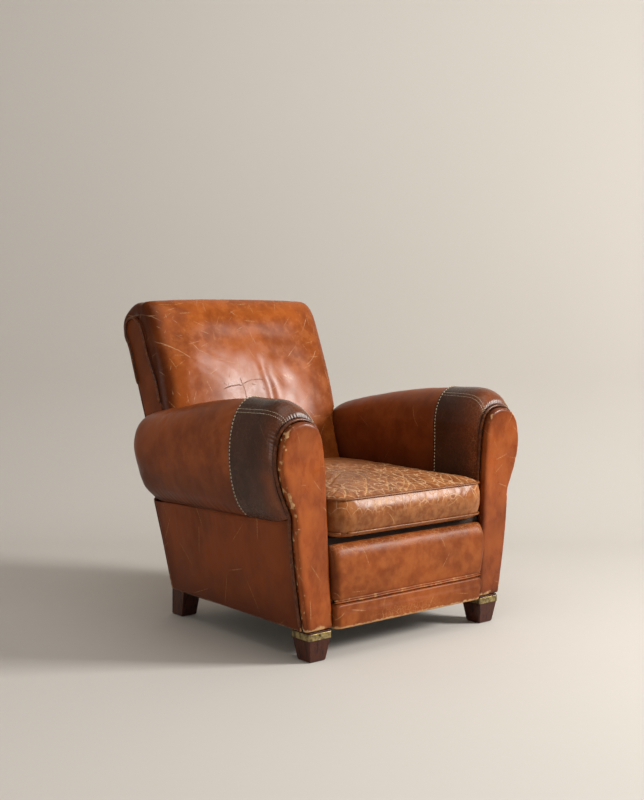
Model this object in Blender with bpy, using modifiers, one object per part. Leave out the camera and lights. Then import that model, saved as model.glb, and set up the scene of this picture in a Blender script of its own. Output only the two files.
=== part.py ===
"""A worn leather club chair, built the way an upholsterer builds one.

Feet carry a wooden frame, webbing and coil springs carry the seat, and the frame carries the padded
leather: two arm rolls with cuffs and front facings, a raked back with a rolled top, a border under
the seat and one loose cushion. Metres, +Z up, the front towards -Y, left is -X. The origin is on the
floor under the middle of the chair.
"""

import math

import bmesh
import bpy
from mathutils import Vector

# Clearance that neighbouring pieces keep.
GAP = 0.0003

# Seat frame: heights of the cloth, the straps and the rails under the seat.
DUST_Z = (0.0700, 0.0712)
DUST_HALF = (0.230, 0.298)
DUST_Y = (-0.385, -0.335, 0.118, 0.150)
WEB_Z = (0.0715, 0.0735)
RAIL_BOTTOM = 0.0738
RAIL_TOP = 0.145
RAIL_THICK = 0.028
CORNER_BLOCK_INNER = 0.205
CORNER_BLOCK_DEPTH = 0.055
CORNER_BLOCK_TOP = 0.125

# Seat: the springs end under a hessian cover, and the deck lies on that.
COVER_Z = (0.2530, 0.2545)
COVER_HALF = 0.2560
COVER_REAR = 0.1270
DECK_Z = (0.2555, 0.2790)
SEAT_HALF = 0.2613
DECK_REAR = 0.1440
SPRING_X = (-0.150, 0.0, 0.150)
SPRING_Y = (-0.270, -0.125, 0.020)
SPRING_WIRE = 0.002
SPRING_RADIUS = (0.042, 0.028)
SPRING_TURNS = 4
SPRING_STEPS = 10
SPRING_FLAT_END = 0.12
SEAT_STRAP = 0.050
SEAT_STRAP_REACH = (0.288, -0.384, 0.150)

# Front of the chair: planes from the front to the back.
BORDER_FRONT = -0.4235
BORDER_REAR = -0.3883
FACING_REAR = -0.3900
WELT_Y = -0.3895
WELT_RADIUS = 0.0040
WELT_INNER_END = 0.300
POST_Y = (-0.3897, -0.3650)
COVER_FRONT = -0.3852
BORDER_Z = (0.1385, 0.2690)
BAND_Z = (0.0700, 0.1315)
BORDER_CROWN = 0.002
BORDER_EASE = 0.0040
BORDER_STATIONS = (-1.0, -0.985, -0.95, -0.5, 0.0, 0.5, 0.95, 0.985, 1.0)
BORDER_SIDE_GAP = 0.0008
BORDER_END = 0.95
BORDER_END_PULL = 0.012
BAND_WELT_RADIUS = 0.0032
BAND_WELT_Y = BORDER_FRONT + BORDER_EASE + 0.0010
BAND_WELT_END_PULL = 0.006

# Outline of an arm facing, X and Z: up the inner edge, over the oval head, down past the neck.
FACING_BOTTOM = 0.0735
FACING_OUTLINE = (
    (0.2425, FACING_BOTTOM), (0.2484, 0.150), (0.2540, 0.233), (0.2590, 0.327), (0.2625, 0.400),
    (0.2665, 0.460), (0.2720, 0.500), (0.2840, 0.534), (0.3040, 0.549), (0.3300, 0.5530),
    (0.3580, 0.5465), (0.3785, 0.5280), (0.3900, 0.4990), (0.3930, 0.4660), (0.3885, 0.4320),
    (0.3772, 0.3960), (0.3622, 0.3620), (0.3522, 0.3400), (0.3515, 0.3150), (0.3493, 0.2760),
    (0.3425, 0.2150), (0.3315, 0.1400), (0.3200, FACING_BOTTOM),
)
FACING_LAYERS = ((FACING_REAR, 0.0), (-0.4015, 0.0), (-0.4065, 0.0022), (-0.4090, 0.0075))
FACING_WELT_END = 0.8
POST_INSET = 0.0105

# Arm roll, X and Z, where it meets the facing and where it is full.
ARM_INNER = 0.2620
ROLL_FRONT = (
    (ARM_INNER, 0.270), (ARM_INNER, 0.400), (0.2645, 0.490), (0.2790, 0.535), (0.3000, 0.552),
    (0.3300, 0.558), (0.3610, 0.550), (0.3830, 0.529), (0.3975, 0.470), (0.3875, 0.405), (0.3700, 0.366),
)
ROLL_FULL = (
    (ARM_INNER, 0.270), (ARM_INNER, 0.400), (0.2625, 0.510), (0.2760, 0.562), (0.3020, 0.590),
    (0.3350, 0.600), (0.3680, 0.587), (0.3940, 0.545), (0.4050, 0.475), (0.3980, 0.405), (0.3780, 0.350),
)
ROLL_DOME = 0.060
ROLL_PEAK_Y = -0.225
ROLL_DROP = 0.066
ROLL_DROP_POWER = 1.7
ROLL_END = 0.2015
ROLL_END_ROUND = 0.050
ROLL_END_SHARE = 0.6
ROLL_MIDDLE = (0.300, 0.400)
ROLL_END_LEAN = 0.175
SEAM_Z = ((COVER_FRONT, 0.335), (-0.350, 0.324), (ROLL_END, 0.308))
CUFF_END = -0.225
CUFF_THICK = 0.0026
CUFF_FRONT_STATIONS = (COVER_FRONT, -0.3815, -0.374)
UNDER_CUFF_STATIONS = (POST_Y[1] + GAP, -0.355, -0.340, -0.320, -0.295, -0.260)
ARM_STATIONS = (-0.150, -0.080, -0.010, 0.060, 0.120, 0.1675, 0.180, 0.190, 0.197, ROLL_END)
ARM_RAIL_Z = (0.265, 0.305)
ARM_RAIL_INNER = 0.2818
ARM_RAIL_REAR = 0.175

# Outside of the arm: a flat panel that leans in towards the floor and towards the back.
SIDE_THICK = 0.007
SIDE_BOTTOM_X = (0.3215, 0.299)
SIDE_TOP_X = (0.3545, 0.332)
SIDE_REAR = 0.205
SIDE_REAR_TOP = 0.300
SIDE_STEPS = (0.0, 0.06, 0.25, 0.5, 0.75, 1.0)

# Back: lines of Y against Z, from the front of the frame to the outside.
PAD_REAR_LINE = ((0.285, 0.145), (0.608, 0.259), (0.688, 0.303), (0.700, 0.3096))
OUTSIDE_LINE = (
    (0.0735, 0.180), (0.200, 0.196), (0.300, 0.212), (0.400, 0.260), (0.507, 0.318),
    (0.603, 0.357), (0.700, 0.395),
)
POST_FRONT_LINE = ((0.0735, 0.128), (0.285, 0.1476))
OUTSIDE_THICK = 0.005
OUTSIDE_TOP = 0.692
OUTSIDE_HALF = ((0.0735, 0.299), (0.300, 0.3308), (0.308, 0.3308), (0.340, 0.2890), (0.700, 0.2890))
BACK_HALF = 0.2890
BACK_POST_X = (0.2465, 0.2815)
FRAME_TOP = 0.700
WEB_THICK = 0.002
BACK_RAILS = {"rear_rail": (RAIL_BOTTOM, RAIL_TOP), "back_rail": (0.300, 0.345), "crest_rail": (0.655, 0.688)}
BACK_STRAP_X = (-0.15, 0.0, 0.15)
BACK_STRAP_WIDE = 0.060
BACK_STRAP_REACH = (SEAT_HALF - 0.001, 0.302, 0.686)
BACK_STRAP = 0.045
BACK_STRAP_Z = (0.405, 0.495, PAD_REAR_LINE[1][0] - BACK_STRAP / 2)

# Inside back and its rolled top in the middle of the chair: Y, Z, and how much it falls away at the sides.
BACK_PROFILE = (
    (0.1100, 0.2793, 1.0), (0.1130, 0.300, 1.0), (0.1280, 0.352, 1.0), (0.1600, 0.460, 1.0),
    (0.1880, 0.562, 1.0), (0.2160, 0.662, 1.0), (0.2400, 0.745, 1.0), (0.2560, 0.792, 1.1),
    (0.2770, 0.823, 1.2), (0.3080, 0.836, 1.1), (0.3480, 0.829, 0.8), (0.3890, 0.808, 0.5),
    (0.4220, 0.781, 0.3), (0.4350, 0.752, 0.2), (0.4300, 0.722, 0.2), (0.4100, FRAME_TOP + GAP, 0.2),
)
BACK_CROWN = 0.008
BACK_EDGE = 0.020
BACK_STATIONS = (0.0, 0.10, 0.19, 0.24, 0.2690, 0.2800, 0.2862, BACK_HALF)

# Boxing on the side of the back: its rear edge follows the outside line, its head the rolled top.
BOXING_THICK = 0.0072
BOXING_BOTTOM = 0.3125
BOXING_HEAD = (
    (0.3150, 0.732), (0.3330, 0.765), (0.3650, 0.786), (0.3920, 0.783), (0.4100, 0.766),
    (0.4120, 0.738), (0.3950, FRAME_TOP),
)
BACK_WELT_RADIUS = 0.003
BACK_WELT_START = 0.552
BACK_WELT_HEAD = 0.600

# Room that the back leaves for the arms: it clears them by ROOM.
ROOM = 0.0005
ARM_ROOM_FACE = 0.2617
UNDER_ARM_ROOM = ((0.05, 0.27), (0.05, 0.42), (0.34, 0.42), (0.34, 0.27))
UNDER_ARM_ROOM_X = (ARM_ROOM_FACE, 0.30)
BOXING_ROOM_OUTER = 0.31

# Loose cushion.
CUSHION_FRONT = -0.4298
CUSHION_HALF = (0.2460, 0.2560)
CUSHION_NARROW_Y = (-0.375, -0.330)
CUSHION_CORNER = 0.045
CUSHION_LAYERS = (
    (0.2793, 0.020), (0.2815, 0.009), (0.2860, 0.002), (0.2920, 0.0), (0.3300, -0.0008), (0.3700, 0.0),
    (0.3745, 0.0020), (0.3800, 0.010), (0.3870, 0.035), (0.3940, 0.080), (0.3990, 0.135), (0.4010, 0.190),
)
CUSHION_WELT_Z = (0.2920, 0.3700)
CUSHION_WELT_RADIUS = 0.0024
CUSHION_BACK_ROOM = 0.0020
CUSHION_LEAST_CORNER = 0.006

# Feet: half widths of the square sections, and how far the rear feet rake back.
FOOT_TOP = 0.0732
FRONT_FOOT_X = 0.2815
FRONT_FOOT_Y = -0.3758
REAR_FOOT_X = 0.2635
REAR_FOOT_Y = 0.1625
REAR_FOOT_RAKE = 0.0125
FRONT_FOOT_SECTIONS = ((0.0, 0.0205), (0.0025, 0.0232), (0.053, 0.0313), (FOOT_TOP, 0.0313))
REAR_FOOT_SECTIONS = ((0.0, 0.0205), (0.0025, 0.0232), (FOOT_TOP, 0.0275))
FOOT_BAND_Z = (0.0535, 0.0728)
FOOT_BAND_HALF = 0.0330
FOOT_BAND_THICK = 0.0014

SIDES = {"left": -1, "right": 1}


# --- small helpers -----------------------------------------------------------------------------------


def clear_scene():
    for obj in list(bpy.data.objects):
        bpy.data.objects.remove(obj, do_unlink=True)


def new_collection(name, hidden=False):
    collection = bpy.data.collections.new(name)
    bpy.context.scene.collection.children.link(collection)
    collection.hide_render = hidden
    return collection


def principled(name, colour, roughness, metallic=0.0):
    material = bpy.data.materials.new(name)
    material.use_nodes = True
    shader = material.node_tree.nodes["Principled BSDF"]
    shader.inputs["Base Color"].default_value = (*colour, 1.0)
    shader.inputs["Roughness"].default_value = roughness
    shader.inputs["Metallic"].default_value = metallic
    material.diffuse_color = (*colour, 1.0)
    return material


def mix(low, high, share):
    return low + (high - low) * share


def along(line, place):
    """Value on a line of (place, value) pairs, straight between its points and past its ends."""
    for (start, low), (end, high) in zip(line, line[1:]):
        if place <= end:
            break
    return mix(low, high, (place - start) / (end - start))


def levels(low, high, *lines):
    """The two ends and every corner of the lines between them."""
    corners = {z for line in lines for z, _ in line if low < z < high}
    return [low, *sorted(corners), high]


def through(points, steps):
    """A smooth open curve through the points, with so many steps between neighbours."""
    points = [Vector(p) for p in points]
    ends = [points[0] * 2 - points[1], *points, points[-1] * 2 - points[-2]]
    curve = []
    for before, start, end, after in zip(ends, ends[1:], ends[2:], ends[3:]):
        for step in range(steps):
            t = step / steps
            curve.append(0.5 * (
                2 * start + (end - before) * t
                + (2 * before - 5 * start + 4 * end - after) * t * t
                + (3 * start - before - 3 * end + after) * t ** 3
            ))
    curve.append(points[-1])
    return curve


def offset(points, distance, closed=True):
    """Flat points moved to the left of their course, by one distance or one each."""
    moved = []
    last = len(points) - 1
    distances = distance if isinstance(distance, list) else [distance] * len(points)
    for i, point in enumerate(points):
        before = points[i - 1] if closed or i > 0 else 2 * point - points[1]
        after = points[(i + 1) % len(points)] if closed or i < last else 2 * point - points[i - 1]
        first = (point - before).normalized()
        second = (after - point).normalized()
        normal = Vector((-first.y - second.y, first.x + second.x)).normalized()
        stretch = max(0.7, Vector((-first.y, first.x)).dot(normal))
        moved.append(point + normal * distances[i] / stretch)
    return moved


def link(name, mesh, material, collection):
    mesh.materials.append(material)
    mesh.shade_smooth()
    mesh.set_sharp_from_angle(angle=math.radians(35))
    obj = bpy.data.objects.new(name, mesh)
    collection.objects.link(obj)
    return obj


def from_bmesh(name, bm, material, collection=None):
    bm.normal_update()
    bmesh.ops.recalc_face_normals(bm, faces=bm.faces)
    mesh = bpy.data.meshes.new(name)
    bm.to_mesh(mesh)
    bm.free()
    return link(name, mesh, material, collection or chair)


def loft(name, rings, material, collection=None):
    """A solid through rings with the same number of points, capped at both ends."""
    bm = bmesh.new()
    rows = [[bm.verts.new(point) for point in ring] for ring in rings]
    for row, following in zip(rows, rows[1:]):
        for i in range(len(row)):
            j = (i + 1) % len(row)
            bm.faces.new((row[i], row[j], following[j], following[i]))
    bm.faces.new(rows[0])
    bm.faces.new(rows[-1])
    return from_bmesh(name, bm, material, collection)


def slab(name, outer, inner, material):
    """A thin solid between two grids of points, with quads on its faces and round its four edges."""
    bm = bmesh.new()
    skins = [[[bm.verts.new(point) for point in row] for row in grid] for grid in (outer, inner)]
    last_row = len(outer) - 1
    last = len(outer[0]) - 1
    for skin in skins:
        for row, following in zip(skin, skin[1:]):
            for i in range(last):
                bm.faces.new((row[i], row[i + 1], following[i + 1], following[i]))
    edges = [(0, i) for i in range(last)] + [(j, last) for j in range(last_row)]
    edges += [(last_row, i) for i in range(last, 0, -1)] + [(j, 0) for j in range(last_row, 0, -1)]
    for here, there in zip(edges, edges[1:] + edges[:1]):
        corners = [skins[0][here[0]][here[1]], skins[0][there[0]][there[1]]]
        corners += [skins[1][there[0]][there[1]], skins[1][here[0]][here[1]]]
        bm.faces.new(corners)
    return from_bmesh(name, bm, material)


def block(name, material, place, collection=None):
    """A cube whose corners go where place puts the shares (0 or 1) along each side."""
    bm = bmesh.new()
    bmesh.ops.create_cube(bm, size=1.0)
    for vertex in bm.verts:
        vertex.co = Vector(place(*(part + 0.5 for part in vertex.co)))
    return from_bmesh(name, bm, material, collection)


def box(name, material, x_span, y_span, z_span):
    return block(name, material, lambda a, b, c: (mix(*x_span, a), mix(*y_span, b), mix(*z_span, c)))


def sheet(name, material, bm, thickness):
    """An open surface thickened evenly to one side of its faces."""
    obj = from_bmesh(name, bm, material)
    solid = obj.modifiers.new("Thickness", "SOLIDIFY")
    solid.thickness = thickness
    solid.offset = -1
    solid.use_even_offset = True
    return obj


def tube(name, points, radius, material, closed=False, facets=1):
    """A round cord or wire through the points, with filled ends."""
    curve = bpy.data.curves.new(name, "CURVE")
    curve.dimensions = "3D"
    curve.bevel_depth = radius
    curve.bevel_resolution = facets
    curve.use_fill_caps = True
    spline = curve.splines.new("POLY")
    spline.points.add(len(points) - 1)
    for target, point in zip(spline.points, points):
        target.co = (*point, 1.0)
    spline.use_cyclic_u = closed
    curve.materials.append(material)
    obj = bpy.data.objects.new(name, curve)
    chair.objects.link(obj)
    return obj


def cut(obj, cutter):
    boolean = obj.modifiers.new("Cut " + cutter.name, "BOOLEAN")
    boolean.operation = "DIFFERENCE"
    boolean.solver = "EXACT"
    boolean.object = cutter
    cutter.hide_render = True
    cutter.display_type = "WIRE"


# --- shared lines and surfaces -----------------------------------------------------------------------


def facing_outline():
    return through(FACING_OUTLINE, 2)


def facing_inner_x(z):
    """Inner edge of the facings, which the border and the band run up to."""
    edge = [(height, x) for x, height in FACING_OUTLINE[:6]]
    return along(edge, z)


def pad_rear(z):
    return along(PAD_REAR_LINE, z)


def outside(z):
    return along(OUTSIDE_LINE, z)


def post_front(z):
    if z <= PAD_REAR_LINE[0][0]:
        return along(POST_FRONT_LINE, z)
    return pad_rear(z) + WEB_THICK + 2 * GAP


def post_rear(z):
    return outside(z) - OUTSIDE_THICK - GAP


def seam_z(y):
    return along(SEAM_Z, y)


def side_x(y, z):
    """Outer face of the side panel, straight from its bottom edge up to the seam under the roll."""
    back = (y - COVER_FRONT) / (SIDE_REAR - COVER_FRONT)
    up = (z - FACING_BOTTOM) / (seam_z(y) - FACING_BOTTOM)
    return mix(mix(*SIDE_BOTTOM_X, back), mix(*SIDE_TOP_X, back), up)


def arm_curve(y, inset):
    """Section of the arm leather at one depth: up the inner face, over the roll, down to the seam."""
    into = min(1.0, (y - COVER_FRONT) / ROLL_DOME)
    full = math.sqrt(1 - (1 - into) ** 2)
    back = max(0.0, (y - ROLL_PEAK_Y) / (ROLL_END - ROLL_PEAK_Y))
    drop = ROLL_DROP * back ** ROLL_DROP_POWER
    squeeze = 1 - drop / (ROLL_FULL[5][1] - ROLL_MIDDLE[1])
    points = []
    for (x0, z0), (x1, z1) in zip(ROLL_FRONT, ROLL_FULL):
        z = mix(z0, z1, full)
        if z > ROLL_MIDDLE[1]:
            z = mix(ROLL_MIDDLE[1], z, squeeze)
        points.append((mix(x0, x1, full), z))
    points.append((side_x(y, seam_z(y)), seam_z(y)))
    curve = [Vector((max(p.x, ARM_INNER), p.y)) for p in through(points, 2)]
    return offset([round_end(y, p) for p in curve], -inset, closed=False)


def round_end(y, point):
    """The rear end of the roll closes in towards its middle."""
    beyond = max(0.0, y - (ROLL_END - ROLL_END_ROUND))
    closing = ROLL_END_SHARE * (ROLL_END_ROUND - math.sqrt(max(0.0, ROLL_END_ROUND ** 2 - beyond ** 2)))
    x, z = point
    if x > ROLL_MIDDLE[0]:
        x = mix(x, ROLL_MIDDLE[0], closing / (ROLL_FULL[8][0] - ROLL_MIDDLE[0]))
    if z > ROLL_MIDDLE[1]:
        z = mix(z, ROLL_MIDDLE[1], closing / (ROLL_FULL[5][1] - ROLL_DROP - ROLL_MIDDLE[1]))
    return Vector((x, z))


def lean_back(y, z):
    """The rear end of the arm leans back with the frame."""
    share = max(0.0, y / ROLL_END)
    return y + ROLL_END_LEAN * (z - SEAM_Z[-1][1]) * share ** 2


def arm_ring(y, inset, side, grown=0.0):
    """The leather's section, closed underneath round the arm rail."""
    curve = arm_curve(y, inset - grown)
    seam = seam_z(y)
    bottom = curve[0].y
    top_of_rail = ARM_RAIL_Z[1] + GAP
    outer = curve[-1].x
    curve += [Vector((min(outer, side_x(y, z) - SIDE_THICK - 0.0006), z)) for z in (seam, top_of_rail)]
    curve += [Vector((ARM_RAIL_INNER - GAP, z)) for z in (top_of_rail, bottom)]
    return [(side * p.x, lean_back(y, p.y), p.y) for p in curve]


def back_inset(x):
    """How far the inside back falls away from its middle section towards its sides."""
    edge = max(0.0, abs(x) - (BACK_HALF - BACK_EDGE))
    rounding = BACK_EDGE - math.sqrt(max(0.0, BACK_EDGE ** 2 - edge ** 2))
    return BACK_CROWN * (abs(x) / BACK_HALF) ** 4 + rounding


def cushion_rear(z):
    face = [(height, y) for y, height, _ in BACK_PROFILE[:4]]
    return along(face, max(z, face[1][0])) - 2 * CUSHION_WELT_RADIUS - CUSHION_BACK_ROOM


def cushion_outline(z, inset):
    """Rounded rectangle, a little narrower between the facings."""
    front = CUSHION_FRONT + inset
    rear = cushion_rear(z) - inset
    half = CUSHION_HALF[1] - inset
    radius = max(CUSHION_LEAST_CORNER, CUSHION_CORNER - inset / 2)
    centre = (front + rear) / 2
    reach = (rear - front) / 2
    points = []
    for corner in range(4):
        sx = (1, -1, -1, 1)[corner]
        sy = (1, 1, -1, -1)[corner]
        for step in range(6):
            angle = math.radians(90 * corner + 18 * step)
            x = sx * (half - radius) + radius * math.cos(angle)
            y = centre + sy * (reach - radius) + radius * math.sin(angle)
            points.append(Vector((x, y)))
    for point in points:
        into = (point.y - CUSHION_NARROW_Y[0]) / (CUSHION_NARROW_Y[1] - CUSHION_NARROW_Y[0])
        narrow = mix(CUSHION_HALF[0], CUSHION_HALF[1], min(1.0, max(0.0, into)))
        point.x *= narrow / CUSHION_HALF[1]
    return points


# --- frame -------------------------------------------------------------------------------------------


def make_feet(wood, brass):
    for word, side in SIDES.items():
        make_foot("foot_front_" + word, side * FRONT_FOOT_X, FRONT_FOOT_Y, 0.0, FRONT_FOOT_SECTIONS, wood)
        make_foot(
            "foot_rear_" + word, side * REAR_FOOT_X, REAR_FOOT_Y, REAR_FOOT_RAKE, REAR_FOOT_SECTIONS, wood,
        )
        make_foot_band("foot_band_" + word, side * FRONT_FOOT_X, FRONT_FOOT_Y, brass)


def make_foot(name, x, y, rake, sections, wood):
    """A square foot that narrows towards the floor, with its bottom edge eased."""
    rings = []
    for z, half in sections:
        centre = y + rake * (1 - z / FOOT_TOP)
        rings.append([(x + a * half, centre + b * half, z) for a, b in ((-1, -1), (1, -1), (1, 1), (-1, 1))])
    loft(name, rings, wood)


def make_foot_band(name, x, y, brass):
    bm = bmesh.new()
    bmesh.ops.create_cube(bm, size=1.0)
    bm.faces.ensure_lookup_table()
    open_ends = [face for face in bm.faces if abs(face.normal.z) > 0.5]
    bmesh.ops.delete(bm, geom=open_ends, context="FACES_ONLY")
    for vertex in bm.verts:
        vertex.co.x = x + 2 * FOOT_BAND_HALF * vertex.co.x
        vertex.co.y = y + 2 * FOOT_BAND_HALF * vertex.co.y
        vertex.co.z = mix(*FOOT_BAND_Z, vertex.co.z + 0.5)
    sheet(name, brass, bm, FOOT_BAND_THICK)


def make_front_posts(wood):
    outline = offset(facing_outline(), -POST_INSET)
    for word, side in SIDES.items():
        rings = [[(side * p.x, y, p.y) for p in outline] for y in POST_Y]
        loft("front_post_" + word, rings, wood)


def rear_post_rings(side, grown):
    heights = levels(RAIL_BOTTOM, FRAME_TOP, POST_FRONT_LINE, PAD_REAR_LINE, OUTSIDE_LINE)
    front = [(post_front(z) - grown, z) for z in heights]
    rear = [(post_rear(z) + grown, z) for z in reversed(heights)]
    spans = (BACK_POST_X[0] - grown, BACK_POST_X[1] + grown)
    return [[(side * x, y, z) for y, z in front + rear] for x in spans]


def make_rails(wood):
    board_x = POST_INSET - GAP
    block("front_rail", wood, lambda a, b, c: (
        mix(-1, 1, a) * (facing_inner_x(mix(RAIL_BOTTOM, RAIL_TOP, c)) + board_x),
        mix(BORDER_REAR + GAP, BORDER_REAR + GAP + RAIL_THICK, b),
        mix(RAIL_BOTTOM, RAIL_TOP, c),
    ))
    for word, side in SIDES.items():
        loft("rear_post_" + word, rear_post_rings(side, 0.0), wood)
        make_side_rail("side_rail_" + word, side, wood)
        make_arm_rail("arm_rail_" + word, side, wood)
        corner_y = BORDER_REAR + 2 * GAP + RAIL_THICK
        block("corner_block_" + word, wood, lambda a, b, c: (
            side * mix(CORNER_BLOCK_INNER, SEAT_HALF, a),
            mix(corner_y, corner_y + CORNER_BLOCK_DEPTH, b),
            mix(RAIL_BOTTOM, CORNER_BLOCK_TOP, c),
        ))
    cross_half = BACK_POST_X[0] - GAP
    for name, span in BACK_RAILS.items():
        block(name, wood, lambda a, b, c: (
            mix(-cross_half, cross_half, a),
            mix(post_front(mix(*span, c)), post_front(mix(*span, c)) + RAIL_THICK, b),
            mix(*span, c),
        ))


def make_side_rail(name, side, wood):
    def place(a, b, c):
        z = mix(RAIL_BOTTOM, RAIL_TOP, c)
        y = mix(POST_Y[1] + GAP, post_front(RAIL_BOTTOM) - GAP, b)
        return side * mix(SEAT_HALF + 2 * GAP, side_x(y, z) - SIDE_THICK - GAP, a), y, z
    block(name, wood, place)


def make_arm_rail(name, side, wood):
    def place(a, b, c):
        z = mix(*ARM_RAIL_Z, c)
        y = mix(POST_Y[1] + GAP, ARM_RAIL_REAR, b)
        return side * mix(ARM_RAIL_INNER, side_x(y, z) - SIDE_THICK - 0.0008, a), y, z
    block(name, wood, place)


# --- seat --------------------------------------------------------------------------------------------


def lattice(columns, rows, place):
    """Straps crossing each other: a grid of cells that keeps those on a strap."""
    bm = bmesh.new()
    points = {(i, j): bm.verts.new(place(x, y)) for i, x in enumerate(columns) for j, y in enumerate(rows)}
    for i in range(len(columns) - 1):
        for j in range(len(rows) - 1):
            if i % 2 == 1 or j % 2 == 1:
                bm.faces.new((points[i, j], points[i + 1, j], points[i + 1, j + 1], points[i, j + 1]))
    loose = [vertex for vertex in bm.verts if not vertex.link_faces]
    bmesh.ops.delete(bm, geom=loose, context="VERTS")
    return bm


def strap_edges(centres, width, low, high):
    """Grid lines across the straps: the first end, each strap's two edges, the last end."""
    values = [low]
    for centre in centres:
        values += [centre - width / 2, centre + width / 2]
    return [*values, high]


def make_webbing(cloth):
    side_reach, front_reach, rear_reach = SEAT_STRAP_REACH
    columns = strap_edges(SPRING_X, SEAT_STRAP, -side_reach, side_reach)
    rows = strap_edges(SPRING_Y, SEAT_STRAP, front_reach, rear_reach)
    bm = lattice(columns, rows, lambda x, y: (x, y, WEB_Z[1]))
    face_up(bm)
    sheet("seat_webbing", cloth, bm, WEB_Z[1] - WEB_Z[0])
    side_reach, low_reach, high_reach = BACK_STRAP_REACH
    columns = strap_edges(BACK_STRAP_X, BACK_STRAP_WIDE, -side_reach, side_reach)
    heights = strap_edges(BACK_STRAP_Z, BACK_STRAP, low_reach, high_reach)
    bm = lattice(columns, heights, lambda x, z: (x, pad_rear(z) + GAP, z))
    face_front(bm)
    sheet("back_webbing", cloth, bm, WEB_THICK)


def face_up(bm):
    bm.normal_update()
    turned = [face for face in bm.faces if face.normal.z < 0]
    bmesh.ops.reverse_faces(bm, faces=turned)


def face_front(bm):
    bm.normal_update()
    turned = [face for face in bm.faces if face.normal.y > 0]
    bmesh.ops.reverse_faces(bm, faces=turned)


def make_springs(steel):
    bottom = WEB_Z[1] + GAP + SPRING_WIRE
    top = COVER_Z[0] - GAP - SPRING_WIRE
    number = 0
    for y in SPRING_Y:
        for x in SPRING_X:
            number += 1
            points = []
            steps = SPRING_TURNS * SPRING_STEPS
            for step in range(steps + 1):
                t = step / steps
                rise = min(1.0, max(0.0, (t - SPRING_FLAT_END) / (1 - 2 * SPRING_FLAT_END)))
                radius = mix(SPRING_RADIUS[1], SPRING_RADIUS[0], abs(2 * t - 1) ** 1.5)
                angle = 2 * math.pi * SPRING_TURNS * t
                points.append(
                    (x + radius * math.cos(angle), y + radius * math.sin(angle), mix(bottom, top, rise)),
                )
            tube(f"seat_spring_{number}", points, SPRING_WIRE, steel)


def make_seat_layers(hessian, deck_cloth, dust_cloth):
    bm = bmesh.new()
    bmesh.ops.create_cube(bm, size=1.0)
    bm.faces.ensure_lookup_table()
    bottom = [face for face in bm.faces if face.normal.z < -0.5]
    bmesh.ops.delete(bm, geom=bottom, context="FACES_ONLY")
    for vertex in bm.verts:
        vertex.co.x *= 2 * COVER_HALF
        vertex.co.y = mix(BORDER_REAR + 0.001 + GAP, COVER_REAR, vertex.co.y + 0.5)
        vertex.co.z = mix(RAIL_TOP + GAP, COVER_Z[1], vertex.co.z + 0.5)
    sheet("spring_cover", hessian, bm, COVER_Z[1] - COVER_Z[0])
    box("seat_deck", deck_cloth, (-SEAT_HALF, SEAT_HALF), (BORDER_REAR + GAP, DECK_REAR), DECK_Z)
    narrow, wide = DUST_HALF
    y0, y1, y2, y3 = DUST_Y
    outline = [(-narrow, y0), (narrow, y0), (narrow, y1), (wide, y1), (wide, y2), (narrow, y2)]
    outline += [(narrow, y3), (-narrow, y3), (-narrow, y2), (-wide, y2), (-wide, y1), (-narrow, y1)]
    loft("dust_cover", [[(x, y, z) for x, y in outline] for z in DUST_Z], dust_cloth)


def border_profile(z_span, crown):
    """Section of the border or the band, Y and Z: flat behind, rounded over the front edges."""
    low, high = z_span
    return [
        (BORDER_REAR, low), (BORDER_REAR, high - 0.006), (BORDER_REAR - 0.010, high),
        (BORDER_FRONT + 0.016, high - 0.002), (BORDER_FRONT + 0.005, high - 0.012),
        (BORDER_FRONT, high - 0.030), (BORDER_FRONT - crown, (low + high) / 2),
        (BORDER_FRONT + 0.0015, low + 0.006), (BORDER_FRONT + BORDER_EASE, low),
    ]


def make_border(leather):
    for name, span, crown in (("seat_border", BORDER_Z, BORDER_CROWN), ("base_band", BAND_Z, 0.0)):
        rings = []
        for station in BORDER_STATIONS:
            end = max(0.0, (abs(station) - BORDER_END) / (1 - BORDER_END))
            pull = BORDER_END_PULL * end ** 2
            ring = []
            for y, z in border_profile(span, crown):
                half = facing_inner_x(z) - BORDER_SIDE_GAP
                ring.append((station * half, min(BORDER_REAR, y + pull), z))
            rings.append(ring)
        loft(name, rings, leather)
    half = facing_inner_x(BORDER_Z[0]) - BAND_WELT_RADIUS
    z = (BORDER_Z[0] + BAND_Z[1]) / 2
    points = []
    for share in (-1.0, -0.75, -0.5, -0.25, 0.0, 0.25, 0.5, 0.75, 1.0):
        points.append((share * half, BAND_WELT_Y + BAND_WELT_END_PULL * share ** 8, z))
    tube("band_welt", points, BAND_WELT_RADIUS, leather, facets=2)


def make_cushion(leather, piping):
    rings = []
    for z, inset in CUSHION_LAYERS:
        rings.append([(p.x, p.y, z) for p in cushion_outline(z, inset)])
    loft("seat_cushion", rings, leather)
    for word, z in zip(("bottom", "top"), CUSHION_WELT_Z):
        outline = cushion_outline(z, -CUSHION_WELT_RADIUS - GAP - 0.0002)
        path = [(p.x, p.y, z) for p in outline]
        tube("cushion_welt_" + word, path, CUSHION_WELT_RADIUS, piping, closed=True)


# --- arms --------------------------------------------------------------------------------------------


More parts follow.
